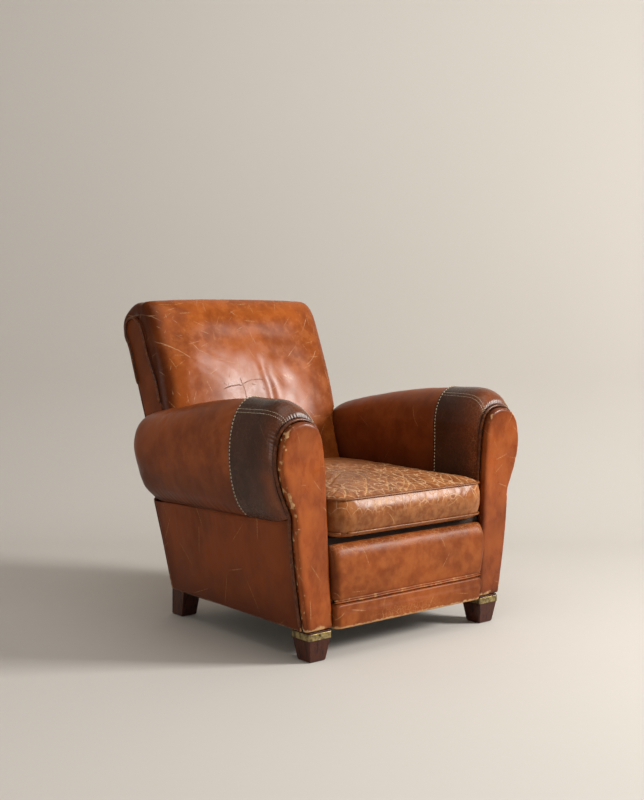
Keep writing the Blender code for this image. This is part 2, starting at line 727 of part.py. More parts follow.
def make_arms(leather, cuff_leather, facing_leather, side_leather, piping):
    for word, side in SIDES.items():
        under_cuff = (*UNDER_CUFF_STATIONS, CUFF_END + GAP)
        rings = [arm_ring(y, CUFF_THICK + 2 * GAP, side) for y in under_cuff]
        rings += [arm_ring(y, 0.0, side) for y in (CUFF_END + 2 * GAP, *ARM_STATIONS)]
        pad = loft("arm_pad_" + word, rings, leather)
        cutter = loft("rear_post_room_" + word, rear_post_rings(side, GAP), leather, cutters)
        cut(pad, cutter)
        rings = []
        for y in (*CUFF_FRONT_STATIONS, *UNDER_CUFF_STATIONS, CUFF_END):
            curve = arm_curve(y, 0.0) + arm_curve(y, CUFF_THICK)[::-1]
            rings.append([(side * p.x, y, p.y) for p in curve])
        loft("arm_cuff_" + word, rings, cuff_leather)
        make_facing(word, side, facing_leather, piping)
        make_side_panel("side_panel_" + word, side, side_leather)


def make_facing(word, side, leather, piping):
    outline = facing_outline()
    rings = [[(side * p.x, y, p.y) for p in offset(outline, -inset)] for y, inset in FACING_LAYERS]
    loft("arm_facing_" + word, rings, leather)
    course = offset(outline, WELT_RADIUS + GAP + 0.0001)
    path = [p for i, p in enumerate(course[:-1]) if p.y > WELT_INNER_END or i > len(course) / 2]
    path.append(mix(path[-1], course[-1], FACING_WELT_END))
    tube("facing_welt_" + word, [(side * p.x, WELT_Y, p.y) for p in path], WELT_RADIUS, piping)


def make_side_panel(name, side, leather):
    """The flat outside, from the bottom edge to the seam, running back to the outside back."""
    heights = levels(FACING_BOTTOM, SIDE_REAR_TOP, OUTSIDE_LINE)
    outer = []
    inner = []
    for step in SIDE_STEPS:
        places = [(mix(COVER_FRONT, post_rear(z), step), z) for z in heights]
        top_y = places[-1][0]
        places.append((top_y, seam_z(top_y) - 0.0004))
        outer.append([(side * side_x(y, z), y, z) for y, z in places])
        inner.append([(side * (side_x(y, z) - SIDE_THICK), y, z) for y, z in places])
    slab(name, outer, inner, leather)


# --- back --------------------------------------------------------------------------------------------


def boxing_outline(grown=0.0):
    """Side of the back, Y and Z, clockwise: up the front edge, over the head, down the rear edge."""
    heights = levels(BOXING_BOTTOM, 0.688, PAD_REAR_LINE)
    front = [Vector((pad_rear(z), z)) for z in heights]
    head = [Vector(p) for p in BOXING_HEAD]
    heights = levels(BOXING_BOTTOM, OUTSIDE_TOP + 0.0015, OUTSIDE_LINE)
    rear = [Vector((post_rear(z), z)) for z in reversed(heights)]
    outline = front + head[:-1] + rear
    return offset(outline, grown) if grown else outline


def make_back(leather, boxing_leather, outside_leather, piping):
    pad = make_back_pad(leather)
    for word, side in SIDES.items():
        depths = [0.0] + [y for y in ARM_STATIONS if 0.0 < y < ROLL_END] + [ROLL_END + 0.0008]
        arm_rings = [arm_ring(y, 0.0, side, ROOM) for y in depths]
        arm_rings = [[(side * max(side * x, ARM_ROOM_FACE), y, z) for x, y, z in ring] for ring in arm_rings]
        arm_room = loft("arm_room_" + word, arm_rings, leather, cutters)
        side_room = loft("under_arm_room_" + word, [
            [(side * x, y, z) for y, z in UNDER_ARM_ROOM] for x in UNDER_ARM_ROOM_X
        ], leather, cutters)
        boxing = loft("back_side_panel_" + word, [
            [(side * x, p.x, p.y) for p in boxing_outline()] for x in (BACK_HALF - BOXING_THICK, BACK_HALF)
        ], boxing_leather)
        cut(boxing, arm_room)
        boxing_room = loft("boxing_room_" + word, [
            [(side * x, p.x, p.y) for p in boxing_outline(GAP)]
            for x in (BACK_HALF - BOXING_THICK - GAP, BOXING_ROOM_OUTER)
        ], leather, cutters)
        cut(pad, arm_room)
        cut(pad, side_room)
        cut(pad, boxing_room)
        make_back_welt("back_welt_" + word, side, piping)
    make_outside_back(outside_leather)


def make_back_pad(leather):
    course = through(BACK_PROFILE, 2)
    face = [p.xy for p in course]
    under = levels(BACK_PROFILE[0][1], FRAME_TOP + GAP, PAD_REAR_LINE)[::-1]
    rings = []
    stations = [-x for x in BACK_STATIONS[:0:-1]] + list(BACK_STATIONS)
    for x in stations:
        # The bottom and the underside of the rolled top stay level while the rest falls away.
        moved = offset(face, [-back_inset(x) * p.z for p in course], closed=False)
        bottom = BACK_PROFILE[0][1]
        top = FRAME_TOP + GAP
        moved = [Vector((p.x, max(p.y, bottom))) for p in moved]
        moved[0].y = bottom
        moved[-1].y = top
        ring = [(x, p.x, p.y) for p in moved]
        ring += [(x, pad_rear(z), z) for z in under]
        rings.append(ring)
    return loft("back_pad", rings, leather)


def make_back_welt(name, side, piping):
    outline = boxing_outline()
    path = [p for i, p in enumerate(outline) if p.y > BACK_WELT_HEAD and i < len(outline) - 4]
    path = [Vector((pad_rear(BACK_WELT_START), BACK_WELT_START)), *path]
    x = side * (BACK_HALF + BACK_WELT_RADIUS + GAP)
    tube(name, [(x, p.x, p.y) for p in through(path, 2)], BACK_WELT_RADIUS, piping)


def make_outside_back(leather):
    heights = levels(FACING_BOTTOM, OUTSIDE_TOP, OUTSIDE_LINE, OUTSIDE_HALF)
    grids = []
    for depth in (0.0, OUTSIDE_THICK):
        grids.append([
            [(along(OUTSIDE_HALF, z) * share, outside(z) - depth, z) for share in (-1.0, -0.5, 0.0, 0.5, 1.0)]
            for z in heights
        ])
    slab("outside_back", *grids, leather)


# --- the chair ---------------------------------------------------------------------------------------

clear_scene()
chair = new_collection("worn_club_chair")
cutters = new_collection("cutters", hidden=True)

foot_wood = principled("foot_wood", (0.10, 0.025, 0.015), 0.35)
frame_wood = principled("frame_wood", (0.55, 0.38, 0.22), 0.7)
brass = principled("worn_brass", (0.42, 0.33, 0.16), 0.4, 1.0)
steel = principled("spring_steel", (0.35, 0.34, 0.33), 0.4, 1.0)
strap_cloth = principled("webbing", (0.35, 0.25, 0.14), 0.9)
hessian = principled("hessian", (0.45, 0.34, 0.20), 0.95)
deck_cloth = principled("deck_cloth", (0.12, 0.06, 0.04), 0.9)
dust_cloth = principled("dust_cloth", (0.03, 0.03, 0.03), 0.95)
seat_leather = principled("seat_leather", (0.27, 0.11, 0.05), 0.45)
back_leather = principled("back_leather", (0.33, 0.10, 0.04), 0.35)
arm_leather = principled("arm_leather", (0.22, 0.07, 0.03), 0.4)
cuff_leather = principled("cuff_leather", (0.05, 0.02, 0.015), 0.35)
facing_leather = principled("facing_leather", (0.32, 0.09, 0.03), 0.35)
border_leather = principled("border_leather", (0.25, 0.08, 0.03), 0.35)
side_leather = principled("side_leather", (0.16, 0.04, 0.02), 0.4)
outside_leather = principled("outside_leather", (0.14, 0.04, 0.02), 0.45)
welt_leather = principled("welt_leather", (0.12, 0.035, 0.02), 0.4)

make_feet(foot_wood, brass)
make_front_posts(frame_wood)
make_rails(frame_wood)
make_webbing(strap_cloth)
make_springs(steel)
make_seat_layers(hessian, deck_cloth, dust_cloth)
make_border(border_leather)
make_cushion(seat_leather, welt_leather)
make_arms(arm_leather, cuff_leather, facing_leather, side_leather, welt_leather)
make_back(back_leather, side_leather, outside_leather, welt_leather)
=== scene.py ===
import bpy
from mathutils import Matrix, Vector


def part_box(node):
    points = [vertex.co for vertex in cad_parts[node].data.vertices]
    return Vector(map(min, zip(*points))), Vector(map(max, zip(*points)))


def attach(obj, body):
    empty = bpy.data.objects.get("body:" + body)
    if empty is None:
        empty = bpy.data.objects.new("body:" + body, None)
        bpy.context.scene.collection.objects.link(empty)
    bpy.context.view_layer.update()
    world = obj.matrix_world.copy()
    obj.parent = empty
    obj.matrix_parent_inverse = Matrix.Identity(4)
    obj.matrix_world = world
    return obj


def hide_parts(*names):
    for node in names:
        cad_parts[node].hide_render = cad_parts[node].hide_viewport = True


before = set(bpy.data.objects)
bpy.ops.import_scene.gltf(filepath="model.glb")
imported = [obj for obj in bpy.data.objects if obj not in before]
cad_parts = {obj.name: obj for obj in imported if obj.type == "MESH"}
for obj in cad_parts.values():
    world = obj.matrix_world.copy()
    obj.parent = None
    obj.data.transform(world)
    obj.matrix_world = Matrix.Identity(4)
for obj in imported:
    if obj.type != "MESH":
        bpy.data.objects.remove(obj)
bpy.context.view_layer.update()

# %% [markdown]
# Blender's own modules do the modelling, and numpy moves many points at once. Nothing here is drawn
# at random: every lump and ripple comes from a noise that reads the same at the same point each time.
# %% Modules, the two sides and the millimetre
import math

import bmesh
import bpy
import numpy as np
from mathutils import Vector, noise
from mathutils.bvhtree import BVHTree

SIDES = {"left": -1, "right": 1}
MM = 0.001
bpy.context.scene.view_settings.view_transform = "Standard"
print("one millimetre is", MM)

# %% [markdown]
# ## Reading the forms
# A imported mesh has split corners, because each face keeps its own normals. Joining them first gives
# a closed form again. A ray or a cutting plane can then measure it. Cutting is the upholsterer's way
# of taking a pattern: a plane through the form gives the line that a welt or a seam follows.
# %% Joined copies, rays and sections
def joined(node):
    """The node's mesh with its split corners joined, for measuring or copying."""
    bm = bmesh.new()
    bm.from_mesh(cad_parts[node].data)
    bmesh.ops.remove_doubles(bm, verts=bm.verts, dist=1e-5)
    return bm


def surface_of(node):
    bm = joined(node)
    tree = BVHTree.FromBMesh(bm)
    bm.free()
    return tree


def section(node, axis, place):
    """The longest closed line where the plane axis = place cuts the node, anticlockwise in its plane."""
    bm = joined(node)
    normal = Vector([float(i == axis) for i in range(3)])
    bmesh.ops.bisect_plane(
        bm, geom=[*bm.verts, *bm.edges, *bm.faces], plane_co=normal * place, plane_no=normal,
        clear_inner=True, clear_outer=True,
    )
    loops = []
    left = dict.fromkeys(bm.verts)
    while left:
        following = [next(iter(left))]
        loop = []
        while following:
            loop.append(following[0])
            del left[following[0]]
            neighbours = [edge.other_vert(loop[-1]) for edge in loop[-1].link_edges]
            following = [vertex for vertex in neighbours if vertex in left]
        loops.append(np.array([vertex.co for vertex in loop]))
    bm.free()
    loop = max(loops, key=len)
    a, b = [i for i in range(3) if i != axis]
    ahead = np.roll(loop, -1, axis=0)
    area = np.sum(loop[:, a] * ahead[:, b] - ahead[:, a] * loop[:, b])
    return loop if area > 0 else loop[::-1]


arm_low, arm_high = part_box("arm_pad_right")
print("an arm is", round((arm_high - arm_low).x, 3), "m wide and", round(arm_high.z, 3), "m high")

# %% [markdown]
# ## Lines
# A line is an array of points. Spacing its points evenly and then averaging neighbours turns the
# corners of a measured section into the smooth run of sewn leather.
# %% Even, smooth and offset lines
def even(line, spacing, closed=True):
    """Points along the line at an even spacing."""
    if closed:
        line = np.vstack([line, line[:1]])
    steps = np.linalg.norm(np.diff(line, axis=0), axis=1)
    along = np.concatenate([[0.0], np.cumsum(steps)])
    count = max(4, round(along[-1] / spacing))
    places = np.linspace(0.0, along[-1], count + 1)
    points = np.stack([np.interp(places, along, line[:, i]) for i in range(line.shape[1])], axis=1)
    return points[:-1] if closed else points


def smooth_line(line, rounds, closed=True):
    """Averages each point with its neighbours. The ends of an open line stay."""
    line = np.array(line, float)
    for _ in range(rounds):
        average = (np.roll(line, 1, axis=0) + 2 * line + np.roll(line, -1, axis=0)) / 4
        if not closed:
            average[0], average[-1] = line[0], line[-1]
        line = average
    return line


def outset(line, axis, distance):
    """Moves a closed anticlockwise line outwards in its own plane."""
    a, b = [i for i in range(3) if i != axis]
    course = np.roll(line, -1, axis=0) - np.roll(line, 1, axis=0)
    length = np.maximum(np.hypot(course[:, a], course[:, b]), 1e-9)
    moved = line.copy()
    moved[:, a] += course[:, b] / length * distance
    moved[:, b] -= course[:, a] / length * distance
    return moved


def curve_through(points, steps=8):
    """A smooth open line through a few points."""
    line = even(np.array(points, float), np.ptp(points, axis=0).max() / (steps * len(points)), closed=False)
    return smooth_line(line, steps, closed=False)


cuff_line = section("arm_cuff_right", 1, -0.30)
print("a cuff's section has", len(cuff_line), "corners")

# %% [markdown]
# ## Building pieces
# A new piece starts as points and faces. A loft joins rings of points, which gives the welts and the
# heads of nails. All builders turn their normals outwards, so that light and printing read the right
# side.
# %% Pieces and lofts
def piece(name, points, faces):
    """An object from points and faces, with its normals turned outwards."""
    mesh = bpy.data.meshes.new(name)
    mesh.from_pydata(np.asarray(points).reshape(-1, 3).tolist(), [], faces)
    bm = bmesh.new()
    bm.from_mesh(mesh)
    bmesh.ops.recalc_face_normals(bm, faces=bm.faces)
    bm.to_mesh(mesh)
    bm.free()
    mesh.shade_smooth()
    obj = bpy.data.objects.new(name, mesh)
    bpy.context.scene.collection.objects.link(obj)
    return obj


def band_faces(start, rows, columns, wrap):
    """Quads between neighbouring rows of points numbered from start."""
    faces = []
    for row in range(rows - 1):
        for column in range(columns if wrap else columns - 1):
            right = (column + 1) % columns
            here, above = start + row * columns, start + (row + 1) * columns
            faces.append((here + column, here + right, above + right, above + column))
    return faces


def loft(name, rings, closed=False):
    """A solid through rings of points. A closed loft joins its last ring to its first."""
    rows, columns = rings.shape[:2]
    faces = band_faces(0, rows, columns, True)
    if closed:
        last = (rows - 1) * columns
        faces += [(last + i, last + (i + 1) % columns, (i + 1) % columns, i) for i in range(columns)]
    else:
        faces += [tuple(range(columns)), tuple((rows - 1) * columns + i for i in range(columns))]
    return piece(name, rings, faces)


print("pieces and lofts can be built")

# %% [markdown]
# A shell joins an outer and an inner grid round their rims, which gives leather or brass of a real
# thickness. A tube is a loft whose rings follow a cord, and its free ends are drawn in.
# %% Shells and tubes
def shell(name, outer, inner, wrap=False):
    """Leather or metal between two grids, closed round its rims."""
    rows, columns = outer.shape[:2]
    size = rows * columns
    faces = band_faces(0, rows, columns, wrap) + band_faces(size, rows, columns, wrap)
    for row in (0, rows - 1):
        for i in range(columns if wrap else columns - 1):
            a, b = row * columns + i, row * columns + (i + 1) % columns
            faces.append((a, b, b + size, a + size))
    if not wrap:
        for column in (0, columns - 1):
            for row in range(rows - 1):
                a, b = row * columns + column, (row + 1) * columns + column
                faces.append((a, b, b + size, a + size))
    return piece(name, np.concatenate([outer.reshape(-1, 3), inner.reshape(-1, 3)]), faces)


def tube(name, path, radius, across, closed=False, sides=10):
    """A round cord along a path. Across is a direction that the path never takes."""
    path = np.array(path, float)
    course = np.roll(path, -1, axis=0) - np.roll(path, 1, axis=0) if closed else np.gradient(path, axis=0)
    course /= np.linalg.norm(course, axis=1)[:, None]
    first = np.cross(course, across)
    first /= np.linalg.norm(first, axis=1)[:, None]
    second = np.cross(first, course)
    radii = np.full(len(path), radius) if np.isscalar(radius) else np.array(radius)
    if not closed:
        for i, share in enumerate((0.35, 0.75, 0.93)):
            radii[i] *= share
            radii[-1 - i] *= share
    turn = np.linspace(0, 2 * math.pi, sides, endpoint=False)
    spokes = first[:, None] * np.cos(turn)[None, :, None] + second[:, None] * np.sin(turn)[None, :, None]
    return loft(name, path[:, None] + spokes * radii[:, None, None], closed)


print("shells and tubes can be built")

# %% [markdown]
# ## Soft copies
# Padded leather is an even skin, so a plain form is first turned into small even quads with a voxel
# remesh. From then on its points can be moved like clay. One subdivision after the swelling gives
# creases enough points to be pressed into.
# %% Copies in even quads
def points_of(obj):
    points = np.empty(len(obj.data.vertices) * 3)
    obj.data.vertices.foreach_get("co", points)
    return points.reshape(-1, 3)


def normals_of(obj):
    normals = np.empty(len(obj.data.vertices) * 3, np.float32)
    obj.data.vertex_normals.foreach_get("vector", normals)
    return normals.reshape(-1, 3).astype(float)


def set_points(obj, points):
    obj.data.vertices.foreach_set("co", np.asarray(points, np.float32).ravel())
    obj.data.update()


def applied(obj):
    """Puts what the modifiers make into the mesh and clears them."""
    graph = bpy.context.evaluated_depsgraph_get()
    mesh = bpy.data.meshes.new_from_object(obj.evaluated_get(graph))
    obj.modifiers.clear()
    obj.data = mesh
    mesh.shade_smooth()
    return obj


def soft_copy(name, node, cell):
    """A new piece with the node's form in even quads of about the cell's size."""
    bm = joined(node)
    mesh = bpy.data.meshes.new(name)
    bm.to_mesh(mesh)
    bm.free()
    obj = bpy.data.objects.new(name, mesh)
    bpy.context.scene.collection.objects.link(obj)
    remesh = obj.modifiers.new("Even quads", "REMESH")
    remesh.mode = "VOXEL"
    remesh.voxel_size = cell
    return applied(obj)


def subdivided(obj):
    obj.modifiers.new("Finer skin", "SUBSURF").levels = 1
    return applied(obj)


print("soft copies can be made")

# %% [markdown]
# Averaging each point with its neighbours relaxes a form, as stuffing settles. A cloudy noise, which
# has no direction of its own, gives it lumps and ripples.
# %% Relax and ripple
def averaged(obj, points, rounds, share=0.5):
    """Points after so many rounds of moving towards the middle of their neighbours."""
    edges = np.empty(len(obj.data.edges) * 2, np.int32)
    obj.data.edges.foreach_get("vertices", edges)
    a, b = edges.reshape(-1, 2).T
    count = len(points)
    degree = np.maximum(np.bincount(a, minlength=count) + np.bincount(b, minlength=count), 1)
    for _ in range(rounds):
        total = [
            np.bincount(a, points[b, i], count) + np.bincount(b, points[a, i], count) for i in range(3)
        ]
        points = points + (np.stack(total, axis=1) / degree[:, None] - points) * share
    return points


def relax(obj, rounds, share=0.5):
    set_points(obj, averaged(obj, points_of(obj), rounds, share))


def cloudy(points, size, seed=0.0):
    """Smooth noise from -1 to 1 at each point of a list or a grid, with lumps of about the given size."""
    shift = Vector((seed * 7.3, seed * 3.1, seed * 5.7))
    values = [noise.noise(Vector(p) / size + shift) for p in points.reshape(-1, 3).tolist()]
    return np.array(values).reshape(points.shape[:-1])


ripple = float(cloudy(np.array([[0.1, 0.2, 0.3]]), 0.05)[0])
print("a ripple at one point reads", round(ripple, 3))

# %% [markdown]
# A mask is a number from 0 to 1 for each point, which says where a crease, a rubbed edge or a dark
# seam lies. Masks shape the mesh, and the ones that are kept on it tell the materials where to wear.
# %% Masks and values kept on the mesh
def distance_to(points, line):
    """Distance of each point from a line of points."""
    least = np.full(len(points), np.inf)
    for start, end in zip(line[:-1], line[1:]):
        run = end - start
        share = np.clip((points - start) @ run / max(run @ run, 1e-12), 0, 1)
        least = np.minimum(least, np.linalg.norm(points - start - share[:, None] * run, axis=1))
    return least


def rise(values, low, high):
    """0 below low, 1 above high and smooth between them."""
    share = np.clip((values - low) / (high - low), 0, 1)
    return share * share * (3 - 2 * share)


def bell(values):
    """1 at 0, falling smoothly away on both sides."""
    return np.exp(-(values ** 2))


def push_out(points, normals, amounts):
    """Moves each point along its own normal."""
    points += normals * amounts[:, None]


def keep(obj, name, values):
    """Stores one value for each point, which a material can read by name."""
    layer = obj.data.attributes.get(name) or obj.data.attributes.new(name, "FLOAT", "POINT")
    layer.data.foreach_set("value", np.clip(values, 0, 1).astype(np.float32))


def keep_on_shell(obj, name, grid):
    """Stores one value for each point of a grid on both faces of the shell that was made from it."""
    keep(obj, name, np.tile(grid.ravel(), 2))


print("half way up a mask reads", float(rise(np.array(0.5), 0, 1)))

# %% [markdown]
# Stuffing pushes leather outwards until its seams and its own strength stop it. Blender's cloth does
# the same with pressure inside a closed skin and the seams pinned. Gravity is off, because the deck
# carries the weight. A limit on how far a point may go keeps the swelling near the real outline.
# %% Swell a skin with cloth and pressure
FRAMES = 20


def swell(obj, pressure, most, pinned, calm=0):
    """Runs the cloth for a few frames and keeps its result, no point going further than most. Calm
    rounds of averaging take the small wrinkles out, as tight leather over firm stuffing does."""
    rest = points_of(obj)
    group = obj.vertex_groups.new(name="Seams")
    group.add(np.flatnonzero(pinned).tolist(), 1.0, "REPLACE")
    cloth = obj.modifiers.new("Swelling", "CLOTH")
    cloth.settings.use_pressure = True
    cloth.settings.uniform_pressure_force = pressure
    cloth.settings.effector_weights.gravity = 0
    cloth.settings.vertex_group_mass = group.name
    cloth.settings.tension_stiffness = 18
    cloth.settings.compression_stiffness = 18
    cloth.settings.bending_stiffness = 0.6
    cloth.settings.quality = 4
    for number in range(1, FRAMES + 1):
        bpy.context.scene.frame_set(number)
    graph = bpy.context.evaluated_depsgraph_get()
    moved = obj.evaluated_get(graph)
    points = np.empty(len(rest) * 3)
    moved.data.vertices.foreach_get("co", points)
    obj.modifiers.clear()
    obj.vertex_groups.clear()
    bpy.context.scene.frame_set(1)
    step = points.reshape(-1, 3) - rest
    length = np.linalg.norm(step, axis=1)
    step *= (np.minimum(length, most) / np.maximum(length, 1e-9))[:, None]
    set_points(obj, rest + averaged(obj, step, calm))
    print(obj.name, "swelled by up to", round(float(np.minimum(length, most).max()) / MM, 1), "mm")


def dressed(obj, material, node_slot, *nodes):
    """The last step of each piece: its material, its body and what it stands for. node_slot is not used."""
    obj.data.materials.clear()
    obj.data.materials.append(material)
    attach(obj, "root")
    if nodes:
        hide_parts(*nodes)
    return obj


print("the cloth runs for", FRAMES, "frames")

# %% [markdown]
# ## Finishes
# Old leather is several layers of colour: a dark dye in the hollows, the worn middle tone, pale hide
# where it is rubbed through, and fine cracks and scratches over all. Each effect is a node group,
# built once and given its own sizes in each material. Distances in the groups are metres.
# %% Small words for building node trees
def add(tree, kind, inputs=(), **settings):
    """A shader node with its settings. An input is linked to a socket or set to a value."""
    node = tree.nodes.new(kind if kind.startswith("Node") else "ShaderNode" + kind)
    for name, value in settings.items():
        setattr(node, name, value)
    for place, value in dict(inputs).items():
        if isinstance(value, bpy.types.NodeSocket):
            tree.links.new(value, node.inputs[place])
        else:
            node.inputs[place].default_value = value
    return node


def calc(tree, operation, *terms):
    return add(tree, "Math", dict(enumerate(terms)), operation=operation).outputs[0]


def vector_calc(tree, operation, *terms, output=0):
    return add(tree, "VectorMath", dict(enumerate(terms)), operation=operation).outputs[output]


def blend(tree, share, first, second):
    """A colour between two, where share is 0 for the first and 1 for the second."""
    return add(tree, "Mix", {0: share, 6: first, 7: second}, data_type="RGBA").outputs[2]


def ramp(tree, value, low, high, to_low=0.0, to_high=1.0):
    inputs = {"Value": value, "From Min": low, "From Max": high, "To Min": to_low, "To Max": to_high}
    return add(tree, "MapRange", inputs, interpolation_type="SMOOTHSTEP").outputs["Result"]


def noise_at(tree, vector, scale, detail=3.0, rough=0.55, output="Fac"):
    inputs = {"Vector": vector, "Scale": scale, "Detail": detail, "Roughness": rough}
    return add(tree, "TexNoise", inputs).outputs[output]


print("node words ready")

# %% [markdown]
# A group takes and gives named sockets, so that one effect can be placed in many materials. Every
# material here starts with the same four things: the material, its tree, its shader and the place.
# %% Groups and materials
def new_group(name, takes, gives):
    """A node group with its named inputs and outputs, and the sockets to wire inside it."""
    tree = bpy.data.node_groups.new(name, "ShaderNodeTree")
    for label, value in takes.items():
        kind = "NodeSocketFloat" if isinstance(value, float) else "NodeSocketVector"
        socket = tree.interface.new_socket(label, in_out="INPUT", socket_type=kind)
        socket.default_value = value
    for label in gives:
        tree.interface.new_socket(label, in_out="OUTPUT", socket_type="NodeSocketFloat")
    return tree, add(tree, "NodeGroupInput").outputs, add(tree, "NodeGroupOutput").inputs


def placed(tree, group, inputs):
    return add(tree, "Group", inputs, node_tree=group).outputs


def new_material(name):
    """A material with its tree, its shader and the place of each point on the object."""
    material = bpy.data.materials.new(name)
    material.use_nodes = True
    tree = material.node_tree
    return material, tree, tree.nodes["Principled BSDF"], add(tree, "TexCoord").outputs["Object"]


def relief(tree, height):
    """A normal from a height that is given in millimetres."""
    return add(tree, "Bump", {"Height": height, "Distance": MM, "Strength": 1.0}).outputs["Normal"]


def wire(tree, shader, sockets):
    """Links what the tree works out to the shader's own inputs."""
    for place, socket in sockets.items():
        tree.links.new(socket, shader.inputs[place])


HERE = (0.0, 0.0, 0.0)
print("a group's vector starts at", HERE)

# %% [markdown]
# Dye never takes evenly. Two noises, one broad and one fine, say where it lies thick or thin.
# %% Group: dye clouds
dye_clouds, taken, given = new_group(
    "Dye clouds", {"Vector": HERE, "Patch size": 0.1}, ("Broad", "Fine"),
)
per_patch = calc(dye_clouds, "DIVIDE", 1.0, taken["Patch size"])
broad = noise_at(dye_clouds, taken["Vector"], per_patch, 5.0, 0.60)
finer = noise_at(dye_clouds, taken["Vector"], calc(dye_clouds, "MULTIPLY", per_patch, 4.0), 3.0, 0.6)
dye_clouds.links.new(ramp(dye_clouds, broad, 0.32, 0.66), given["Broad"])
dye_clouds.links.new(ramp(dye_clouds, finer, 0.34, 0.70), given["Fine"])
print("group:", dye_clouds.name)

# %% [markdown]
# Hide has a grain of small pebbles with dips between them. A cell pattern gives the pebbles, and a
# cloudy mask flattens them in places, as hands and clothes have done.
# %% Group: leather grain
leather_grain, taken, given = new_group(
    "Leather grain", {"Vector": HERE, "Grain size": 0.002}, ("Height",),
)
per_grain = calc(leather_grain, "DIVIDE", 1.0, taken["Grain size"])
pebbles = add(leather_grain, "TexVoronoi", {"Vector": taken["Vector"], "Scale": per_grain})
pebbles = pebbles.outputs["Distance"]
worn_flat = noise_at(leather_grain, taken["Vector"], calc(leather_grain, "MULTIPLY", per_grain, 0.08))
strength = ramp(leather_grain, worn_flat, 0.35, 0.70, 0.35, 1.0)
leather_grain.links.new(calc(leather_grain, "MULTIPLY", pebbles, strength), given["Height"])
print("group:", leather_grain.name)

# %% [markdown]
# Dry leather cracks into a net of cells. The edges of a warped cell pattern give the net, and a
# broad noise breaks it up, because only the parts that flex are cracked.
# %% Group: crack net
crack_net, taken, given = new_group(
    "Crack net",
    {"Vector": HERE, "Cell size": 0.02, "Waviness": 0.01, "Line width": 0.06, "Spread": 0.5},
    ("Cracks",),
)
per_cell = calc(crack_net, "DIVIDE", 1.0, taken["Cell size"])
slow_scale = calc(crack_net, "MULTIPLY", per_cell, 0.6)
wander = noise_at(crack_net, taken["Vector"], slow_scale, 3.0, output="Color")
wander = vector_calc(crack_net, "SUBTRACT", wander, (0.5, 0.5, 0.5))
wander = add(crack_net, "VectorMath", {0: wander, "Scale": taken["Waviness"]}, operation="SCALE").outputs[0]
bent = vector_calc(crack_net, "ADD", taken["Vector"], wander)
edge = add(
    crack_net, "TexVoronoi", {"Vector": bent, "Scale": per_cell}, feature="DISTANCE_TO_EDGE",
).outputs["Distance"]
line_mask = ramp(crack_net, edge, taken["Line width"], 0.0)
where = noise_at(crack_net, taken["Vector"], calc(crack_net, "MULTIPLY", per_cell, 0.22), 3.0)
low = calc(crack_net, "SUBTRACT", 0.85, taken["Spread"])
where = ramp(crack_net, where, low, calc(crack_net, "ADD", low, 0.25))
crack_net.links.new(calc(crack_net, "MULTIPLY", line_mask, where), given["Cracks"])
print("group:", crack_net.name)

# %% [markdown]
# Buckles, keys and claws leave short straight scratches. Each cell of a cell pattern holds one: its
# random colour gives a direction, and the mark is where the surface crosses a thin plane in it.
# %% Group: scratches
scratches, taken, given = new_group(
    "Scratches", {"Vector": HERE, "Cell size": 0.05, "Line width": 0.0006, "Share": 0.5}, ("Marks",),
)
cell = add(scratches, "TexVoronoi", {
    "Vector": taken["Vector"], "Scale": calc(scratches, "DIVIDE", 1.0, taken["Cell size"]),
}).outputs
facing = vector_calc(scratches, "SUBTRACT", cell["Color"], (0.5, 0.5, 0.5))
facing = vector_calc(scratches, "NORMALIZE", facing)
away = vector_calc(scratches, "SUBTRACT", taken["Vector"], cell["Position"])
across = calc(scratches, "ABSOLUTE", vector_calc(scratches, "DOT_PRODUCT", away, facing, output="Value"))
mark = ramp(scratches, across, taken["Line width"], 0.0)
reach = ramp(scratches, cell["Distance"], 0.55, 0.25)
chosen = add(scratches, "SeparateColor", {"Color": cell["Color"]}).outputs["Red"]
chosen = calc(scratches, "LESS_THAN", chosen, taken["Share"])
ragged = ramp(scratches, noise_at(scratches, taken["Vector"], 300.0, 2.0), 0.35, 0.55)
mark = calc(scratches, "MULTIPLY", mark, reach)
mark = calc(scratches, "MULTIPLY", mark, calc(scratches, "MULTIPLY", chosen, ragged))
scratches.links.new(mark, given["Marks"])
print("group:", scratches.name)

# %% [markdown]
# The longest creases of the back are laid one by one. Each is an arc between two points, so the
# group measures how far the surface is from that arc. A little noise keeps it from looking ruled.
# %% Group: long crease
long_crease, taken, given = new_group(
    "Long crease",
    {"Vector": HERE, "Start": HERE, "End": HERE, "Bow": HERE, "Line width": 0.001},
    ("Line",),
)
shake = noise_at(long_crease, taken["Vector"], 60.0, 3.0, output="Color")
shake = vector_calc(long_crease, "SUBTRACT", shake, (0.5, 0.5, 0.5))
shake = add(long_crease, "VectorMath", {0: shake, "Scale": 0.006}, operation="SCALE").outputs[0]
spot = vector_calc(long_crease, "ADD", taken["Vector"], shake)
run = vector_calc(long_crease, "SUBTRACT", taken["End"], taken["Start"])
gone = vector_calc(long_crease, "SUBTRACT", spot, taken["Start"])
share = calc(
    long_crease, "DIVIDE",
    vector_calc(long_crease, "DOT_PRODUCT", gone, run, output="Value"),
    vector_calc(long_crease, "DOT_PRODUCT", run, run, output="Value"),
)
share = add(long_crease, "Clamp", {"Value": share}).outputs[0]
bulge = calc(long_crease, "MULTIPLY", share, calc(long_crease, "SUBTRACT", 1.0, share))
bulge = calc(long_crease, "MULTIPLY", bulge, 4.0)
straight = add(long_crease, "VectorMath", {0: run, "Scale": share}, operation="SCALE").outputs[0]
bowed = add(long_crease, "VectorMath", {0: taken["Bow"], "Scale": bulge}, operation="SCALE").outputs[0]
miss = vector_calc(long_crease, "SUBTRACT", vector_calc(long_crease, "SUBTRACT", gone, straight), bowed)
miss = vector_calc(long_crease, "MULTIPLY", miss, (1.0, 0.0, 1.0))
